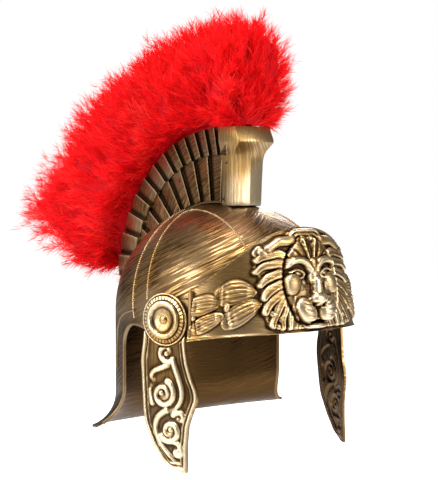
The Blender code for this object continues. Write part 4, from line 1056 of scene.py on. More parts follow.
def turned_points(profile, sides):
    """A turned solid about the pivot's axis from (radius, height) points, open at its axis or bored."""
    profile = np.asarray(profile)
    turn = 2 * np.pi * np.arange(sides) / sides
    radius, level = profile[:, :1], profile[:, 1:]
    return from_pivot(radius * np.cos(turn), radius * np.sin(turn), level + 0 * turn)


# Rounded parts of the rosette's profile, in shares of its radius and rise: middle, half sizes, then the
# angles in degrees from which and to which it runs, and its steps.
ROSETTE_RIM = (0.965, 0.15, 0.035, 0.15, -60, 170, 8)
ROSETTE_RING = (0.62, 0.72, 0.115, 0.28, 0, 165, 12)
# Painted highlights on the raised rings of the rosette and painted shade in its grooves: radius, width and strength.
ROSETTE_LIGHT_AND_SHADE = (
    ("rim", 0.965, 0.03, 0.35),
    ("ring", 0.62, 0.09, 0.35),
    ("rim_groove", 0.90, 0.022, -0.75),
    ("ring_groove", 0.745, 0.03, -0.75),
    ("dish_groove", 0.44, 0.07, -0.75),
)


def arc_profile(radius, height, half_width, half_height, start, end, steps):
    return [(radius + half_width * math.cos(turn), height + half_height * math.sin(turn))
            for turn in np.radians(np.linspace(start, end, steps + 1))]


def rosette_pieces(finish):
    """Turned boss: thin rim, raised round ring and a dished middle."""
    bore = BORE_RADIUS / ROSETTE_RADIUS
    shares = [(bore, 0), (0.99, 0), *arc_profile(*ROSETTE_RIM), (0.915, 0.13), (0.90, 0.34), (0.885, 0.38),
              (0.765, 0.42), (0.745, 0.50), (0.735, 0.70), *arc_profile(*ROSETTE_RING), (0.46, 0.66),
              (0.36, 0.55), (0.27, 0.49), (0.19, 0.48), (bore, 0.48)]
    profile = [(ROSETTE_RADIUS * a, ROSETTE_LEVEL + ROSETTE_RISE * b) for a, b in shares]
    faces = grid_faces(len(profile), ROSETTE_SIDES, wrap=True)
    last = (len(profile) - 1) * ROSETTE_SIDES
    for i in range(ROSETTE_SIDES):
        after = (i + 1) % ROSETTE_SIDES
        faces.append((i, after, last + after, last + i))
    for obj in both_sides("rosette_turning", turned_points(profile, ROSETTE_SIDES), faces, finish,
                          "rosette"):
        mirror = (1 if obj.name.endswith("right") else -1, 1, 1)
        from_centre = places(obj) - PIVOT * mirror
        out = from_centre @ (OUTWARD * mirror)
        radius = np.sqrt((from_centre**2).sum(-1) - out**2) / ROSETTE_RADIUS
        set_value(obj, "wear_and_painted_light", sum(strength * np.exp(-(((radius - at) / width) ** 2))
                                   for _, at, width, strength in ROSETTE_LIGHT_AND_SHADE))


def ring_group(finish):
    """Repeats a block round the Z axis, with the number of blocks as an input."""
    group, made = instance_group(
        "ring_of_blocks",
        (("Count", "Int"),),
        (("spots", "GeometryNodePoints", {}), ("index", "GeometryNodeInputIndex", {}),
         ("share", "ShaderNodeMath", {"operation": "DIVIDE"}),
         ("turn", "ShaderNodeMath", {"operation": "MULTIPLY"}), ("spin", "ShaderNodeCombineXYZ", {})),
        (("inside", "Count", "spots", "Count"), ("index", "Index", "share", 0), ("inside", "Count", "share", 1),
         ("share", "Value", "turn", 0), ("turn", "Value", "spin", "Z"), ("spots", "Points", "place", "Points"),
         ("inside", "Geometry", "place", "Instance"), ("spin", "Vector", "place", "Rotation")),
        finish,
    )
    made["turn"].inputs[1].default_value = 2 * math.pi
    return group


# Section of one rosette segment: radius and height as shares of the rosette's, and share of its width.
SEGMENT_SECTION = ((0.76, 0.36, 1.0), (0.765, 0.53, 0.88), (0.875, 0.47, 0.88), (0.895, 0.30, 1.0))
SEGMENT_FILL = 0.76


def segment_ring(finish):
    """Raised segments round the rosette, between its rim and its ring."""
    half_turn = SEGMENT_FILL * math.pi / ROSETTE_SEGMENTS
    block = [(radius * ROSETTE_RADIUS * math.cos(turn), radius * ROSETTE_RADIUS * math.sin(turn),
              height * ROSETTE_RISE)
             for radius, height, share in SEGMENT_SECTION
             for turn in (-half_turn * share, 0.0, half_turn * share)]
    faces = grid_faces(4, 3) + [(0, 3, 6, 9), (2, 11, 8, 5), (0, 9, 10, 11, 2, 1)]
    obj = new_object("segment", block, faces)
    run_group(obj, ring_group(finish), {"Count": ROSETTE_SEGMENTS})
    ring = np.array([corner.co for corner in obj.data.vertices])
    faces = [tuple(face.vertices) for face in obj.data.polygons]
    bpy.data.objects.remove(obj)
    points = from_pivot(ring[:, 0], ring[:, 1], ROSETTE_LEVEL + ring[:, 2])
    both_sides("rosette_segments", points, faces, finish)


def rivet_pieces(finish):
    """Domed head with a small dimple, shank, and the clinched end inside the bowl."""
    seat = ROSETTE_LEVEL + ROSETTE_DISH + GAP
    inner = -WALL - PAD_RISE - GAP
    top = seat + RIVET_RISE
    profile = [(AXIS_RADIUS, inner - CLINCH_THICKNESS), (0.9 * CLINCH_RADIUS, inner - CLINCH_THICKNESS),
               (CLINCH_RADIUS, inner - 0.6 * CLINCH_THICKNESS), (CLINCH_RADIUS, inner),
               (SHANK_RADIUS, inner), (SHANK_RADIUS, seat), (RIVET_RADIUS, seat)]
    profile += [(RIVET_RADIUS * math.cos(a), seat + RIVET_RISE * math.sin(a))
                for a in np.linspace(0.15, 1.25, 9)]
    profile += [(radius, top - depth) for radius, depth in RIVET_DIMPLE]
    both_sides("rivet_turning", turned_points(profile, RIVET_SIDES), capped_rings(len(profile), RIVET_SIDES),
               finish, "rivet")


def pad_pieces(finish):
    """The flat round pad inside the bowl that the rivet's end lies on."""
    profile = [(0.0023, -WALL - PAD_RISE), (PAD_RADIUS - 0.0002, -WALL - PAD_RISE),
               (PAD_RADIUS, -WALL - 0.6 * PAD_RISE), (PAD_RADIUS, -0.6 * WALL)]
    faces = grid_faces(len(profile), RIVET_SIDES, wrap=True)
    both_sides("shell_pad", turned_points(profile, RIVET_SIDES), faces, finish)


def prism_pieces(name, outline, low, high, finish):
    """A plate of (forward, up) outline between two levels over the bowl, on both sides."""
    flat = np.array([(a, b, level) for level in (low, high) for a, b in outline])
    both_sides(name, from_pivot(*flat.T), capped_rings(2, len(outline)), finish, bevel=(0.0004,))


# The dimple in a rivet's head: radius and depth below its top.
RIVET_DIMPLE = ((0.0009, 0.00010), (0.0006, 0.00035), (AXIS_RADIUS, 0.00045))


def band_end_pieces(finish):
    """The wall at each end of the band and the tab that runs on under the cheek guard."""
    near = ROSETTE_RADIUS + BAND_END_GAP
    low, high = BAND_BASE_SIDE + 0.001, BAND_TOP_SIDE - 0.002
    wall = [(near, low), (near + END_WALL, low), (near + END_WALL, high), (near, high)]
    prism_pieces("brow_band_end", wall, GAP + 0.25 * TAB_THICKNESS, GAP + TAB_THICKNESS + END_WALL_RISE, finish)
    tab_foot = 0.85 * BAND_BASE_SIDE
    tab = [(-TAB_RADIUS * math.cos(a), max(TAB_RADIUS * math.sin(a), tab_foot))
           for a in np.radians(np.linspace(90, -90, 25))]
    tab += [(near + 0.6 * END_WALL, tab_foot), (near + 0.6 * END_WALL, TAB_RADIUS)]
    prism_pieces("brow_band_tab", tab, GAP, GAP + TAB_THICKNESS, finish)


# Cheek guards

GUARD_EDGES = (
    ("under_rosette", 0.160, 0.160, -0.178),
    ("neck", 0.290, 0.180, -0.200),
    ("swell", 0.385, 0.208, -0.196),
    ("point", 0.460, 0.243, -0.190),
    ("bulge", 0.520, 0.251, -0.184),
    ("under_bulge", 0.606, 0.218, -0.176),
    ("waist", 0.690, 0.190, -0.160),
    ("lower", 0.830, 0.180, -0.084),
    ("toe_side", 0.945, 0.184, 0.012),
    ("toe", 1.000, 0.182, 0.140),
)


def smooth_step(value):
    value = np.clip(value, 0.0, 1.0)
    return value * value * (3 - 2 * value)


def rounded_interp(at, places, values, spread=0.022):
    """Straight stretches between the places, with their corners rounded off."""
    total = np.zeros(np.shape(at))
    for shift in (-1.0, -0.5, 0.0, 0.5, 1.0):
        total = total + np.interp(at + shift * spread, places, values)
    return total / 5


def guard_edges(depth):
    """Front and rear edges at depths below the pivot."""
    share = depth / GUARD_LENGTH
    _, levels, fronts, rears = zip(*GUARD_EDGES)
    low_front = GUARD_LENGTH * rounded_interp(share, levels, fronts)
    low_rear = GUARD_LENGTH * rounded_interp(share, levels, rears)
    toe = np.clip((share - 0.90) / 0.10, 0, 1)
    low_rear = low_rear + (GUARD_LENGTH * np.interp(share, levels, rears) - low_rear) * toe
    head = np.sqrt(np.clip(GUARD_HEAD_RADIUS**2 - depth**2, 0, None))
    part = smooth_step(share / levels[0])
    edges = []
    for low, side in ((low_front, 1), (low_rear, -1)):
        neck = side * GUARD_HEAD_RADIUS + (low - side * GUARD_HEAD_RADIUS) * part
        edges.append(np.where(depth < 0, side * head, np.where(share < levels[0], neck, low)))
    return edges


def guard_face(forward, depth):
    """Level of the guard's outer face: bent round its length and splayed out below the rosette."""
    below = np.clip(depth - ROSETTE_RADIUS, 0, None)
    bend = smooth_step(below / 0.03) * forward**2 / (2 * GUARD_BEND_RADIUS)
    return GUARD_LEVEL + GUARD_THICKNESS - bend + GUARD_SPLAY * below


# Scrolls: centre forward and depth, outer radius, as shares of the guard's length, then the start of
# the coil in degrees, its turns inward and its sense.
SCROLLS = (
    ("upper", 0.012, 0.215, 0.070, 60, 1.05, 1),
    ("large", -0.010, 0.495, 0.092, -70, 1.75, 1),
    ("lower", 0.050, 0.735, 0.078, 150, 1.55, -1),
    ("toe_coil", 0.112, 0.868, 0.038, -60, 1.0, 1),
)
# Stems that join the scrolls, with forward and depth of their points as shares of the length.
STEMS = (
    ("upper_stem", ((0.060, 0.262), (0.082, 0.32), (0.112, 0.39), (0.140, 0.47), (0.128, 0.545),
                    (0.075, 0.605), (0.020, 0.612))),
    ("lower_stem", ((0.020, 0.600), (-0.045, 0.635), (-0.072, 0.695), (-0.055, 0.775), (0.000, 0.845),
                    (0.062, 0.905), (0.125, 0.955))),
    ("rear_hook", ((0.020, 0.300), (-0.035, 0.325), (-0.100, 0.350), (-0.120, 0.395), (-0.090, 0.410))),
    ("middle_hook", ((-0.100, 0.560), (-0.120, 0.500), (-0.118, 0.450))),
    ("front_hook", ((0.075, 0.625), (0.118, 0.600), (0.155, 0.630), (0.140, 0.670), (0.108, 0.655))),
    ("toe_leaf", ((0.060, 0.800), (0.110, 0.805), (0.140, 0.840))),
)


SCROLL_TIP_RADIUS = 0.0027


def scroll_path(forward, depth, radius, start_degrees, turns, sense):
    share = np.linspace(0, 1, int(30 * turns) + 1)
    turn = math.radians(start_degrees) + sense * 2 * np.pi * turns * share
    size = GUARD_LENGTH * radius * (1 - 0.84 * share**0.9)
    return np.stack([GUARD_LENGTH * forward + size * np.cos(turn),
                     GUARD_LENGTH * depth + size * np.sin(turn)], -1)


def guard_relief(forward, depth, front, rear):
    """Double raised border and scrolls on the guard's outer face."""
    edge = np.minimum(np.minimum(front - forward, forward - rear), (GUARD_LENGTH - depth) * 0.8)
    border = BORDER_RISE * np.exp(-(((edge - BORDER_CENTRE) / BORDER_HALF_WIDTH) ** 4))
    line = 0.75 * BORDER_RISE * np.exp(-(((edge - LINE_CENTRE) / LINE_HALF_WIDTH) ** 2))
    forms = [border, line]
    for _, *sizes in SCROLLS:
        path = scroll_path(*sizes)
        forms.append(ridge(forward, depth, path, 0.5 * SCROLL_WIDTH, 0.34 * SCROLL_WIDTH, SCROLL_RISE))
        forms.append(1.1 * SCROLL_RISE * oval(forward, depth, *path[-1], SCROLL_TIP_RADIUS,
                                              SCROLL_TIP_RADIUS, 0, 0.5))
    for _, shares in STEMS:
        path = smooth_path(GUARD_LENGTH * np.array(shares), whole=True)
        forms.append(ridge(forward, depth, path, 0.5 * SCROLL_WIDTH, 0.3 * SCROLL_WIDTH, 0.9 * SCROLL_RISE))
    past_rosette = (np.hypot(forward, depth) - ROSETTE_RADIUS - 0.0006) / 0.0015
    return np.maximum.reduce(forms) * np.clip(past_rosette, 0, 1)


def guard_pieces(finish):
    """Each guard as a thin wall, its relief pressed through to its back."""
    turn = np.linspace(0, np.pi / 2, GUARD_HEAD_ROWS, endpoint=False)
    depth = np.concatenate([-0.985 * GUARD_HEAD_RADIUS * np.cos(turn), GUARD_LENGTH * np.linspace(0, 1, GUARD_ROWS)])
    front, rear = (edge[:, None] for edge in guard_edges(depth))
    forward = rear + (front - rear) * np.linspace(0, 1, GUARD_COLUMNS)
    depth = np.broadcast_to(depth[:, None], forward.shape)
    relief = smoothed(guard_relief(forward, depth, front, rear), 1)
    face = guard_face(forward, depth)
    outer = from_pivot(forward, -depth, face + relief)
    inner = from_pivot(forward, -depth, face - GUARD_SKIN + 0.6 * smoothed(relief, 2))
    rows, columns = forward.shape
    count = rows * columns
    points = np.concatenate([outer.reshape(-1, 3), inner.reshape(-1, 3)])
    faces = grid_faces(rows, columns) + grid_faces(rows, columns, count, flip=True)
    index = np.arange(count).reshape(rows, columns)
    for edge in (index[:, 0], index[:, -1], index[0], index[-1]):
        faces += [(a, b, b + count, a + count) for a, b in zip(edge.tolist(), edge.tolist()[1:])]
    # Brighter on the raised scrolls and border, darker on the ground between them: painted highlights and painted
    # shade, with a weaker opposite on the back.
    wear_and_painted_light = np.clip(0.6 * cavity(relief) + 1.35 * relief / SCROLL_RISE - 0.42, -1, 1).ravel()
    for obj in both_sides("cheek_guard_relief", points, faces, finish, replaces="cheek_guard",
                          body="cheek_guard"):
        set_value(obj, "wear_and_painted_light", np.concatenate([wear_and_painted_light, -0.4 * wear_and_painted_light]))
        set_value(obj, "inside", np.repeat([0, 1], count))
        set_grain(obj, np.tile(depth.ravel(), 2), np.tile(forward.ravel(), 2))


# Crest box


def crest_point(angle, radius, across=0.0):
    """A point at an angle and a radius about the crest's centre, across the middle plane."""
    angle, radius, across = np.broadcast_arrays(angle, radius, across)
    return np.stack([across, CREST_CENTRE_Y + radius * np.cos(angle),
                     CREST_CENTRE_Z + radius * np.sin(angle)], -1)


def bowl_radius(angle, across=0.0):
    """Distance from the crest's centre to the bowl's outside."""
    low, high = 0.03, 0.30
    for _ in range(40):
        radius = (low + high) / 2
        _, y, z = crest_point(angle, radius, across).tolist()
        reach = BOWL_REAR if y > 0 else BOWL_FRONT
        plan = abs(across / BOWL_HALF_WIDTH) ** PLAN_POWER + abs(y / reach) ** PLAN_POWER
        if plan ** (2 / PLAN_POWER) + (max(z, 0) / BOWL_HEIGHT) ** 2 < 1:
            low = radius
        else:
            high = radius
    return radius


def slat_points(side, first, last, low_at, high_at, half_width, lead):
    """Rings of one slat: proud at its front edge and flush at its back, in a few steps along the arc."""
    root = CREST_CORE_HALF_WIDTH - SLAT_ROOT_INSET
    proud, flush = half_width + SLAT_STEP, half_width - SLAT_TAIL_INSET
    points = []
    for share in np.linspace(0, 1, SLAT_STEPS + 1):
        angle = first + (last - first) * share
        face = proud + (flush - proud) * share
        low, high = low_at(angle), high_at(angle)
        for across, radius, shift in ((root, low, lead), (face, low, lead), (face, high, 0), (root, high, 0)):
            points.append(crest_point(angle + shift, radius, side * across))
    return points


def slat_light_and_shade(obj, edges, low, high, lead):
    """Painted highlight along each slat's front edge, painted shade towards its tail under the next one and near its
    foot.
    """
    angle, radius = crest_polar(obj)
    angle = angle - lead * np.clip((high - radius) / (high - low), 0, 1)
    edges = np.array(edges)
    index = np.clip(np.searchsorted(-edges, -angle - 0.002, side="right") - 1, 0, len(edges) - 2)
    share = (edges[index] - angle) / (edges[index] - edges[index + 1])
    wear_and_painted_light = 0.75 * np.exp(-((share / 0.09) ** 2)) - 0.85 * smooth_step((share - 0.62) / 0.34)
    set_value(obj, "wear_and_painted_light", wear_and_painted_light - 0.25 * (radius < low + 0.004))


# Nail holes in each side of the crest box: angle in degrees, distance from the arc's centre, and how far
# out the wall lies there.
NAIL_HOLES = (
    ("prow_high", 95.5, 0.130, 0.0190),
    ("prow_low", 94.0, 0.096, 0.0183),
    ("middle", 62.0, 0.128, 0.0182),
    ("rear", 35.0, 0.131, 0.0178),
)
NAIL_HOLE_RADIUS = 0.0012
NAIL_HOLE_SIDES = 16
NAIL_HOLE_ENDS = (0.0006, -0.0015)


def nail_hole_pieces(finish):
    """Small dark plugs in the crest box's sides: painted shade standing in for the nail holes."""
    points, faces = [], []
    for _, degrees, radius, out in NAIL_HOLES:
        _, y, z = crest_point(math.radians(degrees), radius)
        for side in (-1, 1):
            faces += capped_rings(2, NAIL_HOLE_SIDES, len(points))
            points += [(side * (out + end), y + NAIL_HOLE_RADIUS * math.cos(turn),
                        z + NAIL_HOLE_RADIUS * math.sin(turn))
                       for end in NAIL_HOLE_ENDS
                       for turn in np.linspace(0, 2 * np.pi, NAIL_HOLE_SIDES, endpoint=False)]
    add_piece("crest_box_nail_holes", points, faces, finish)


def slat_pieces(finish):
    """Both tiers of slats on both sides."""
    upper = [UPPER_SLAT_FIRST - UPPER_SLAT_PITCH * i - UPPER_SLAT_GROWTH * i * i for i in range(UPPER_SLATS)]
    lower = [LOWER_SLAT_FIRST - LOWER_SLAT_PITCH * i for i in range(LOWER_SLATS)]
    front, rear = math.degrees(CREST_FRONT_ANGLE), math.degrees(CREST_REAR_ANGLE)
    foot = LOWER_HALF_WIDTH + SLAT_STEP / 2
    tiers = (
        ("crest_box_lower", (front - 0.7, *lower, rear + 1), lambda a: bowl_radius(a, foot) + SLAT_FOOT_GAP,
         lambda a: TIER_RADIUS + 0.001, LOWER_HALF_WIDTH, 0.0),
        ("crest_box_upper", (front - 2, *upper, rear - 0.5), lambda a: TIER_RADIUS, lambda a: CREST_RADIUS,
         UPPER_HALF_WIDTH, SLAT_LEAD),
    )
    for name, degrees, low_at, high_at, half_width, lead in tiers:
        edges = [math.radians(angle) for angle in degrees]
        points, faces = [], []
        for side in (-1, 1):
            for here, after in zip(edges, edges[1:]):
                faces += capped_rings(SLAT_STEPS + 1, 4, len(points))
                points += slat_points(side, here, after - SLAT_LAP, low_at, high_at, half_width, lead)
        obj = add_piece(name, points, faces, finish, bevel=(SLAT_BEVEL,))
        crest_grain(obj)
        slat_light_and_shade(obj, edges, low_at(math.radians(60)), high_at(0.0), lead)


def crest_core(finish):
    """The channel's two side walls, its floor and its closed rear end, under the slats."""
    half, inner = CREST_CORE_HALF_WIDTH, CREST_CORE_HALF_WIDTH - CREST_WALL
    floor, top = CREST_RADIUS - CHANNEL_DEPTH, CREST_WALL_TOP
    points = []
    for angle in np.linspace(CREST_FRONT_ANGLE, CREST_REAR_ANGLE, CREST_COLUMNS):
        foot, side_foot = (bowl_radius(angle, across) + CREST_FOOT_GAP for across in (0.0, half))
        section = ((-half, side_foot), (-half, top), (-inner, top), (-inner, floor), (inner, floor),
                   (inner, top), (half, top), (half, side_foot), (0.0, foot))
        points += [crest_point(angle, radius, across) for across, radius in section]
    add_piece("crest_box_core", points, capped_rings(CREST_COLUMNS, len(section)), finish,
              replaces="crest_box")
    end = [crest_point(angle, radius, across)
           for angle in (CREST_REAR_ANGLE + CREST_END_THICKNESS, CREST_REAR_ANGLE)
           for across, radius in ((-half, side_foot), (-half, top), (half, top), (half, side_foot))]
    add_piece("crest_box_end", end, capped_rings(2, 4), finish, bevel=(0.0005,))


# The prow from the foot up: height, half width, and how far forward its side corners lie.
PROW_LEVELS = (
    ("foot", 0.0992, 0.0177, -0.0306),
    ("low", 0.104, 0.0180, -0.0308),
    ("middle", 0.124, 0.0184, -0.0314),
    ("neck", 0.142, 0.0189, -0.0322),
    ("swell_1", 0.147, 0.0193, -0.0336),
    ("swell_2", 0.1515, 0.0200, -0.0364),
    ("swell_3", 0.1555, 0.0209, -0.0408),
    ("lip", 0.1586, 0.0217, -0.0440),
    ("over_lip", 0.1612, 0.0220, -0.0436),
    ("top", 0.1735, 0.0225, -0.0375),
)


PROW_BEVEL = (0.0009, 3, 20)


def prow_piece(finish):
    """The closed front of the crest box, with a blunt upright ridge in its middle."""
    points = []
    for _, height, half_width, front in PROW_LEVELS:
        points += [(-half_width, PROW_BACK, height), (-half_width, front, height),
                   (0, front - PROW_RIDGE, height), (half_width, front, height),
                   (half_width, PROW_BACK, height)]
    obj = add_piece("crest_box_prow", points, capped_rings(len(PROW_LEVELS), 5), finish, bevel=PROW_BEVEL)
    x, y, z = places(obj).T
    set_grain(obj, z, x - 1.3 * y)


# Plume


def plume_length(share):
    growth = np.clip(share, 0, 1) ** PLUME_GROWTH
    return PLUME_FRONT_LENGTH + (PLUME_REAR_LENGTH - PLUME_FRONT_LENGTH) * growth


def plume_point(share, reach, across):
    """A point of the plume: share runs from front to rear, reach along the feathers."""
    angle = PLUME_FRONT_ANGLE + (PLUME_REAR_ANGLE - PLUME_FRONT_ANGLE) * share
    lean = PLUME_LEAN * np.clip(share, 0, None) ** 2 * reach
    radius = CREST_RADIUS + PLUME_LIFT + plume_length(share) * reach
    half = PLUME_HALF_WIDTH + (PLUME_REAR_HALF_WIDTH - PLUME_HALF_WIDTH) * share
    return crest_point(angle + lean, radius, across * half)


# Half of the body's section from its foot to its top: across as a share of the plume's half width, and
# reach along the feathers.
BODY_SECTION = ((0.26, 0.025), (0.60, 0.09), (0.78, 0.33), (0.76, 0.60), (0.50, 0.80), (0.0, 0.88))


def section_place(around):
    """Across and reach round the body's section. Around runs from -1 at the left foot to 1."""
    half = np.array(BODY_SECTION)
    run = np.concatenate([[0], np.cumsum(np.hypot(*np.diff(half, axis=0).T))])
    away = (1 - np.abs(around)) * run[-1]
    return np.sign(around) * np.interp(away, run, half[:, 0]), np.interp(away, run, half[:, 1])


def plume_body(finish):
    """The lumpy mass that the down hides, and the backing strip in the crest box's channel. The mass comes out deep
    red: painted shade in the gaps between the tufts.
    """
    shares, around = np.meshgrid(np.linspace(0.0, 1.0, BODY_COLUMNS), np.linspace(-1, 1, BODY_ROWS),
                                 indexing="ij")
    across, reach = section_place(around)
    lumps = 1 + 0.035 * np.sin(41 * shares + 9 * around) + 0.03 * np.sin(23 * shares - 13 * around)
    points = plume_point(shares, reach * lumps, across * lumps)
    add_piece("plume_mass", points, capped_rings(BODY_COLUMNS, BODY_ROWS), finish,
              replaces="plume")
    inner = CREST_CORE_HALF_WIDTH - CREST_WALL - GAP
    floor, top = CREST_RADIUS - CHANNEL_DEPTH + 2 * GAP, CREST_RADIUS + BACKING_RISE
    strip = [crest_point(angle, radius, across)
             for angle in np.linspace(BACKING_FRONT_ANGLE, BACKING_REAR_ANGLE, CREST_COLUMNS)
             for across, radius in ((-inner, floor), (-inner, top), (inner, top), (inner, floor))]
    add_piece("plume_backing", strip, capped_rings(CREST_COLUMNS, 4), finish)


def unit(vectors):
    return vectors / np.maximum(np.linalg.norm(vectors, axis=-1, keepdims=True), 1e-12)


def sway(share, around, seed):
    """A smooth wavering over the plume, so that neighbouring down flows the same way."""
    draw = np.random.default_rng(seed)
    total = np.zeros((len(share), 3))
    for _ in range(7):
        speed_a, speed_b = draw.uniform(6, 34), draw.uniform(2, 11)
        phase = draw.uniform(0, 2 * np.pi)
        total += np.sin(speed_a * share + speed_b * around + phase)[:, None] * draw.normal(0, 1, 3)
    return total / 7**0.5


def tufts(draw):
    """Root, heading and length of each tuft's soft quill, and where it stands on the plume."""
    share = draw.uniform(-0.01, 1.01, TUFTS)
    around = draw.uniform(-0.985, 0.985, TUFTS)
    kind = draw.uniform(0, 1, TUFTS)
    front_face, rear_face = kind < FRONT_TUFTS, kind > 1 - REAR_TUFTS
    share = np.where(front_face, 0.0, np.where(rear_face, 1.0, share))
    across, reach = section_place(around)
    deep = np.where(front_face | rear_face, draw.uniform(0.1, 1.0, TUFTS), draw.uniform(0.80, 0.98, TUFTS))
    root = plume_point(share, reach * deep, across * deep)
    radial = unit(plume_point(share, reach * deep + 0.12, across * deep * 1.02) - root)
    sideways = np.zeros_like(root)
    sideways[:, 0] = np.sign(across)
    flank = np.abs(across) * (1 - np.clip((reach - 0.50) / 0.4, 0, 1))
    run = unit(plume_point(share + 0.01, reach, across) - plume_point(share, reach, across))
    ends = np.where(rear_face, 0.55, 0.0) - np.where(front_face, 0.42, 0.0)
    heading = unit(
        radial
        + sideways * (0.62 * flank + 0.10)[:, None]
        + run * (ends + 0.10)[:, None]
        + 0.26 * sway(share, around, 5)
        + 0.10 * draw.normal(0, 1, (TUFTS, 3))
    )
    foot = np.clip((np.abs(around) - 0.74) / 0.10, 0, 1)[:, None]
    skirt = unit(0.30 * radial + 1.10 * sideways + 0.20 * draw.normal(0, 1, (TUFTS, 3)))
    heading = unit(heading * (1 - foot) + skirt * foot)
    quill = draw.uniform(*QUILL_LENGTH, TUFTS) * (1 + 0.50 * np.clip(share, 0, 1))
    quill *= np.clip(0.62 + 0.5 * reach / 0.35, 0.55, 1.0)
    return root, heading, quill, share, around


def barb_corners(draw, root, heading, quill):
    """Seven corners of each fine flat barb, two at its root and at each bend and one at its tip."""
    shape = (TUFTS, BARBS_PER_TUFT)
    t = draw.uniform(0.0, 1.0, shape)
    bend = unit(np.cross(heading, draw.normal(0, 1, (TUFTS, 3))))
    sag = draw.uniform(0.0, 0.45, TUFTS)
    start = (
        root[:, None]
        + heading[:, None] * (quill[:, None] * t)[..., None]
        + bend[:, None] * (quill * sag)[:, None, None] * (t**2)[..., None]
    )
    spin = draw.uniform(0, 2 * np.pi, shape)[..., None]
    away = bend[:, None] * np.cos(spin) + np.cross(heading, bend)[:, None] * np.sin(spin)
    splay = np.radians(draw.uniform(*BARB_SPLAY, shape))[..., None]
    barb_heading = heading[:, None] * np.cos(splay) + away * np.sin(splay)
    length = (draw.uniform(*BARB_LENGTH, shape) * (1.2 - 0.5 * t))[..., None]
    curl = away * draw.uniform(-0.5, 0.3, shape)[..., None]
    curl += 0.16 * draw.normal(0, 1, (*shape, 3))
    flat = unit(np.cross(barb_heading, draw.normal(0, 1, (*shape, 3))))
    wide = BARB_WIDTH * draw.uniform(0.7, 1.3, shape)[..., None]
    corners = []
    for reached, thick in ((0.0, 0.5), (0.4, 0.42), (0.75, 0.28)):
        spot = start + (barb_heading * reached + curl * 0.55 * reached**2) * length
        corners += [spot - flat * wide * thick, spot + flat * wide * thick]
    corners.append(start + (barb_heading + curl * 0.55) * length)
    return np.stack(corners, axis=2)


def down_pieces(finish):
    """Tufts of down over the body: soft quills with long fine barbs that flow outwards and curl."""
    draw = np.random.default_rng(11)
    root, heading, quill, share, around = tufts(draw)
    corners = barb_corners(draw, root, heading, quill)
    clump = 0.20 * sway(share, around, 9)[:, :1]
    tone = np.clip(0.48 + clump + draw.normal(0, 0.17, (TUFTS, BARBS_PER_TUFT)), 0, 1)
    for sheet in range(PLUME_SHEETS):
        part = corners[sheet::PLUME_SHEETS].reshape(-1, 3)
        first = np.arange(0, len(part), 7)[:, None]
        faces = []
        for corner in ((0, 1, 3, 2), (2, 3, 5, 4), (4, 5, 6)):
            faces += (first + np.array(corner)).tolist()
        obj = add_piece("plume_down_%d" % sheet, part, faces, finish, closed=False)
        set_value(obj, "tone", np.repeat(tone[sheet::PLUME_SHEETS].ravel(), 7))


# Finishes


def new_finish(name, colour, roughness, metallic):
    made = bpy.data.materials.new(name)
    made.use_nodes = True
    shader = made.node_tree.nodes["Principled BSDF"]
    shader.inputs["Base Color"].default_value = (*colour, 1)
    shader.inputs["Roughness"].default_value = roughness
    shader.inputs["Metallic"].default_value = metallic
    return made, made.node_tree, shader


def connect(tree, value, socket):
    """Sets an input from another node's socket or from a fixed value."""
    if isinstance(value, bpy.types.NodeSocket):
        tree.links.new(value, socket)
    else:
        socket.default_value = value


def blend(tree, share, first, second):
    """A colour between two others. Each of the three may be a socket or a fixed value."""
    mix = tree.nodes.new("ShaderNodeMix")
    mix.data_type = "RGBA"
    connect(tree, share, mix.inputs[0])
    for slot, colour in ((6, first), (7, second)):
        connect(tree, (*colour, 1) if isinstance(colour, tuple) else colour, mix.inputs[slot])
    return mix.outputs[2]


def ranged(tree, value, low, high, to_low=0.0, to_high=1.0):
    step = tree.nodes.new("ShaderNodeMapRange")
    for name, number in (("From Min", low), ("From Max", high), ("To Min", to_low), ("To Max", to_high)):
        step.inputs[name].default_value = number
    tree.links.new(value, step.inputs["Value"])
    return step.outputs["Result"]


def calculated(tree, operation, first, second):
    step = tree.nodes.new("ShaderNodeMath")
    step.operation = operation
    connect(tree, first, step.inputs[0])
    connect(tree, second, step.inputs[1])
    return step.outputs["Value"]


def mottle(tree, vector, scale, detail, stretch=None):
    """A noise pattern's value, drawn out along the brush where a stretch is given."""
    if stretch:
        mapping = tree.nodes.new("ShaderNodeMapping")
        mapping.inputs["Scale"].default_value = stretch
        tree.links.new(vector, mapping.inputs["Vector"])
        vector = mapping.outputs["Vector"]
    noise = tree.nodes.new("ShaderNodeTexNoise")
    noise.inputs["Scale"].default_value = scale
    noise.inputs["Detail"].default_value = detail
    tree.links.new(vector, noise.inputs["Vector"])
    return noise.outputs["Fac"]


def on_points(tree, name, output="Fac"):
    node = tree.nodes.new("ShaderNodeAttribute")
    node.attribute_name = name
    return node.outputs[output]


UMBER = (0.030, 0.013, 0.004)
INSIDE_BROWN = (0.085, 0.043, 0.014)
COPPER = (0.42, 0.180, 0.056)
GOLD = (0.58, 0.355, 0.130)
PALE_GOLD = (1.0, 0.87, 0.62)
DEEP_RED = (0.46, 0.0, 0.004)
RED = (0.95, 0.004, 0.007)
BRIGHT_RED = (1.0, 0.075, 0.060)


# Noise scales of the coating, and how the brush strokes are drawn out along and across the brush.
PATCH_SCALE = 16.0
COPPER_SCALE = 9.0
SPECK_SCALE = 260.0
BROAD_STROKES = (24, 400, 1)
FINE_STROKES = (60, 1300, 1)


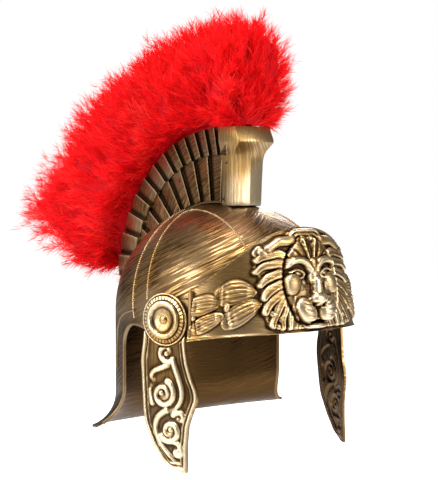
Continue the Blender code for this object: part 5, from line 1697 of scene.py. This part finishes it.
def gold_finish(name, copper_share, stroke_share, pale_share=0.30, brushed=True):
    """Gold and copper coating under dark brush strokes, with painted highlights where it stands out and painted
    shade where it lies low.
    """
    made, tree, shader = new_finish(name, GOLD, 0.3, 1.0)
    link = tree.links.new
    place = tree.nodes.new("ShaderNodeTexCoord").outputs["Object"]
    patch = ranged(tree, mottle(tree, place, PATCH_SCALE, 2.0), 0.42, 0.62)
    coppery = ranged(tree, mottle(tree, place, COPPER_SCALE, 2.0), 0.40, 0.60, 0.0, copper_share)
    ground = blend(tree, coppery, GOLD, COPPER)
    ground = blend(tree, calculated(tree, "MULTIPLY", patch, pale_share), ground, PALE_GOLD)
    if brushed:
        grain = on_points(tree, "grain", "Vector")
        broad = ranged(tree, mottle(tree, grain, 1.0, 2.0, BROAD_STROKES), 0.45, 0.58)
        fine = ranged(tree, mottle(tree, grain, 1.0, 1.0, FINE_STROKES), 0.36, 0.52)
        strokes = calculated(tree, "MULTIPLY", broad, fine)
        strokes = calculated(tree, "MAXIMUM", strokes, calculated(tree, "MULTIPLY", patch, 0.40))
    else:
        strokes = ranged(tree, mottle(tree, place, SPECK_SCALE, 3.0), 0.34, 0.52)
    covered = calculated(tree, "MULTIPLY", calculated(tree, "SUBTRACT", 1.0, strokes), stroke_share)
    colour = blend(tree, covered, ground, UMBER)
    wear_and_painted_light = on_points(tree, "wear_and_painted_light")
    # Below zero the colour goes to umber: painted shade, with some dark rubbed into the hollows.
    colour = blend(tree, ranged(tree, wear_and_painted_light, 0.05, -0.62, 0.0, 0.95), colour, UMBER)
    # Above zero it goes to pale gold: painted highlights, with some rubbed-through wear.
    colour = blend(tree, ranged(tree, wear_and_painted_light, 0.14, 0.95, 0.0, 0.66), colour, PALE_GOLD)
    inside = on_points(tree, "inside")
    colour = blend(tree, calculated(tree, "MULTIPLY", inside, 0.92), colour, INSIDE_BROWN)
    link(colour, shader.inputs["Base Color"])
    rough = ranged(tree, covered, 0.0, 0.8, 0.27, 0.50)
    rough = calculated(tree, "SUBTRACT", rough, calculated(tree, "MULTIPLY", inside, 0.06))
    link(rough, shader.inputs["Roughness"])
    bump = tree.nodes.new("ShaderNodeBump")
    bump.inputs["Strength"].default_value = 0.25
    bump.inputs["Distance"].default_value = 0.0002
    link(strokes, bump.inputs["Height"])
    link(bump.outputs["Normal"], shader.inputs["Normal"])
    return made


def feather_finish(name):
    """Dyed down, deeper and brighter from barb to barb."""
    made, tree, shader = new_finish(name, RED, 0.75, 0.0)
    shader.inputs["Specular IOR Level"].default_value = 0.15
    # Pieces without a tone, such as the mass under the down, come out deep red: painted shade in the gaps between
    # the tufts.
    tone = on_points(tree, "tone")
    colour = blend(tree, ranged(tree, tone, 0.0, 0.45), DEEP_RED, RED)
    colour = blend(tree, ranged(tree, tone, 0.62, 1.0), colour, BRIGHT_RED)
    tree.links.new(colour, shader.inputs["Base Color"])
    return made


# Studio


def stage_floor():
    """A pale floor that the camera sees as white."""
    half = FLOOR_HALF_WIDTH
    corners = [(x, y, FLOOR_LEVEL) for x, y in ((-half, -half), (half, -half), (half, half), (-half, half))]
    floor = new_object("floor", corners, [(0, 1, 2, 3)])
    made, tree, shader = new_finish("pale_floor", (0.85, 0.85, 0.85), 0.9, 0.0)
    shader.inputs["Emission Color"].default_value = (1, 1, 1, 1)
    seen = tree.nodes.new("ShaderNodeLightPath").outputs["Is Camera Ray"]
    tree.links.new(seen, shader.inputs["Emission Strength"])
    floor.data.materials.append(made)


def stage_world():
    """White behind, and a dimmer grey for what reflects in the gold."""
    world = bpy.data.worlds.new("studio")
    bpy.context.scene.world = world
    world.use_nodes = True
    tree = world.node_tree
    rays = tree.nodes.new("ShaderNodeLightPath").outputs
    around = blend(tree, rays["Is Diffuse Ray"], (0.20, 0.19, 0.18), (0.58, 0.58, 0.58))
    back = tree.nodes["Background"].inputs
    tree.links.new(blend(tree, rays["Is Camera Ray"], around, (1.0, 1.0, 1.0)), back["Color"])
    back["Strength"].default_value = 1.0


def stage_lights():
    """Large soft lights on both sides, above and behind, aimed at the helmet."""
    for name, place, width, height, power in LIGHTS:
        light = bpy.data.lights.new(name, "AREA")
        light.shape = "RECTANGLE"
        light.size = width
        light.size_y = height
        light.energy = power
        lamp = placed(name, light)
        lamp.location = place
        lamp.rotation_euler = (-Vector(place)).to_track_quat("-Z", "Y").to_euler()


def studio():
    stage_floor()
    stage_world()
    stage_lights()
    lens = bpy.data.cameras.new("camera")
    lens.lens = CAMERA_LENS
    lens.sensor_width = SENSOR_WIDTH
    lens.clip_start = 0.01
    camera = placed("camera", lens)
    camera.location = CAMERA_PLACE
    look = Vector((math.sin(CAMERA_BEARING) * math.cos(CAMERA_PITCH),
                   math.cos(CAMERA_BEARING) * math.cos(CAMERA_PITCH), -math.sin(CAMERA_PITCH)))
    camera.rotation_euler = look.to_track_quat("-Z", "Y").to_euler()
    bpy.context.scene.camera = camera
    bpy.context.scene.view_settings.view_transform = "Standard"


def build():
    shell_gold = gold_finish("shell_gold", 0.45, 0.95)
    relief_gold = gold_finish("relief_gold", 0.20, 0.58, 0.40)
    crest_gold = gold_finish("crest_gold", 0.80, 0.88)
    bead_gold = gold_finish("bead_gold", 0.20, 0.55, 0.30, False)
    # Flat dark brown for the nail holes: painted shade inside them.
    hole_shade, _, _ = new_finish("hole_shade", UMBER, 0.6, 0.0)
    prow_gold = gold_finish("prow_gold", 0.10, 0.50, 0.60)
    bright_gold = gold_finish("bright_gold", 0.10, 0.45, 0.45, False)
    red = feather_finish("red_down")

    shell_piece(shell_gold)
    pad_pieces(shell_gold)
    beads = bead_group(bead_gold)
    moulding = [on_side(y, z) for y, z in smooth_path(ARCH_LINE, whole=False)]
    for side, turned in (("right", np.array), ("left", mirrored)):
        tube("shell_rim_" + side, turned(rim_path()), RIM_RADIUS, shell_gold, 10)
        tube("shell_moulding_" + side, turned(moulding), MOULDING_RADIUS, shell_gold)
        for index, line in enumerate(dome_lines()):
            bead_strip("shell_beads_%d_%s" % (index, side), turned(line), beads, bead_gold)
            tube("shell_welt_%d_%s" % (index, side), turned(line), WELT_RADIUS, shell_gold)
    band_piece(relief_gold)
    band_end_pieces(shell_gold)
    rosette_pieces(bright_gold)
    segment_ring(bright_gold)
    rivet_pieces(bright_gold)
    guard_pieces(relief_gold)
    crest_core(crest_gold)
    slat_pieces(crest_gold)
    nail_hole_pieces(hole_shade)
    prow_piece(prow_gold)
    plume_body(red)
    down_pieces(red)
    studio()


build()
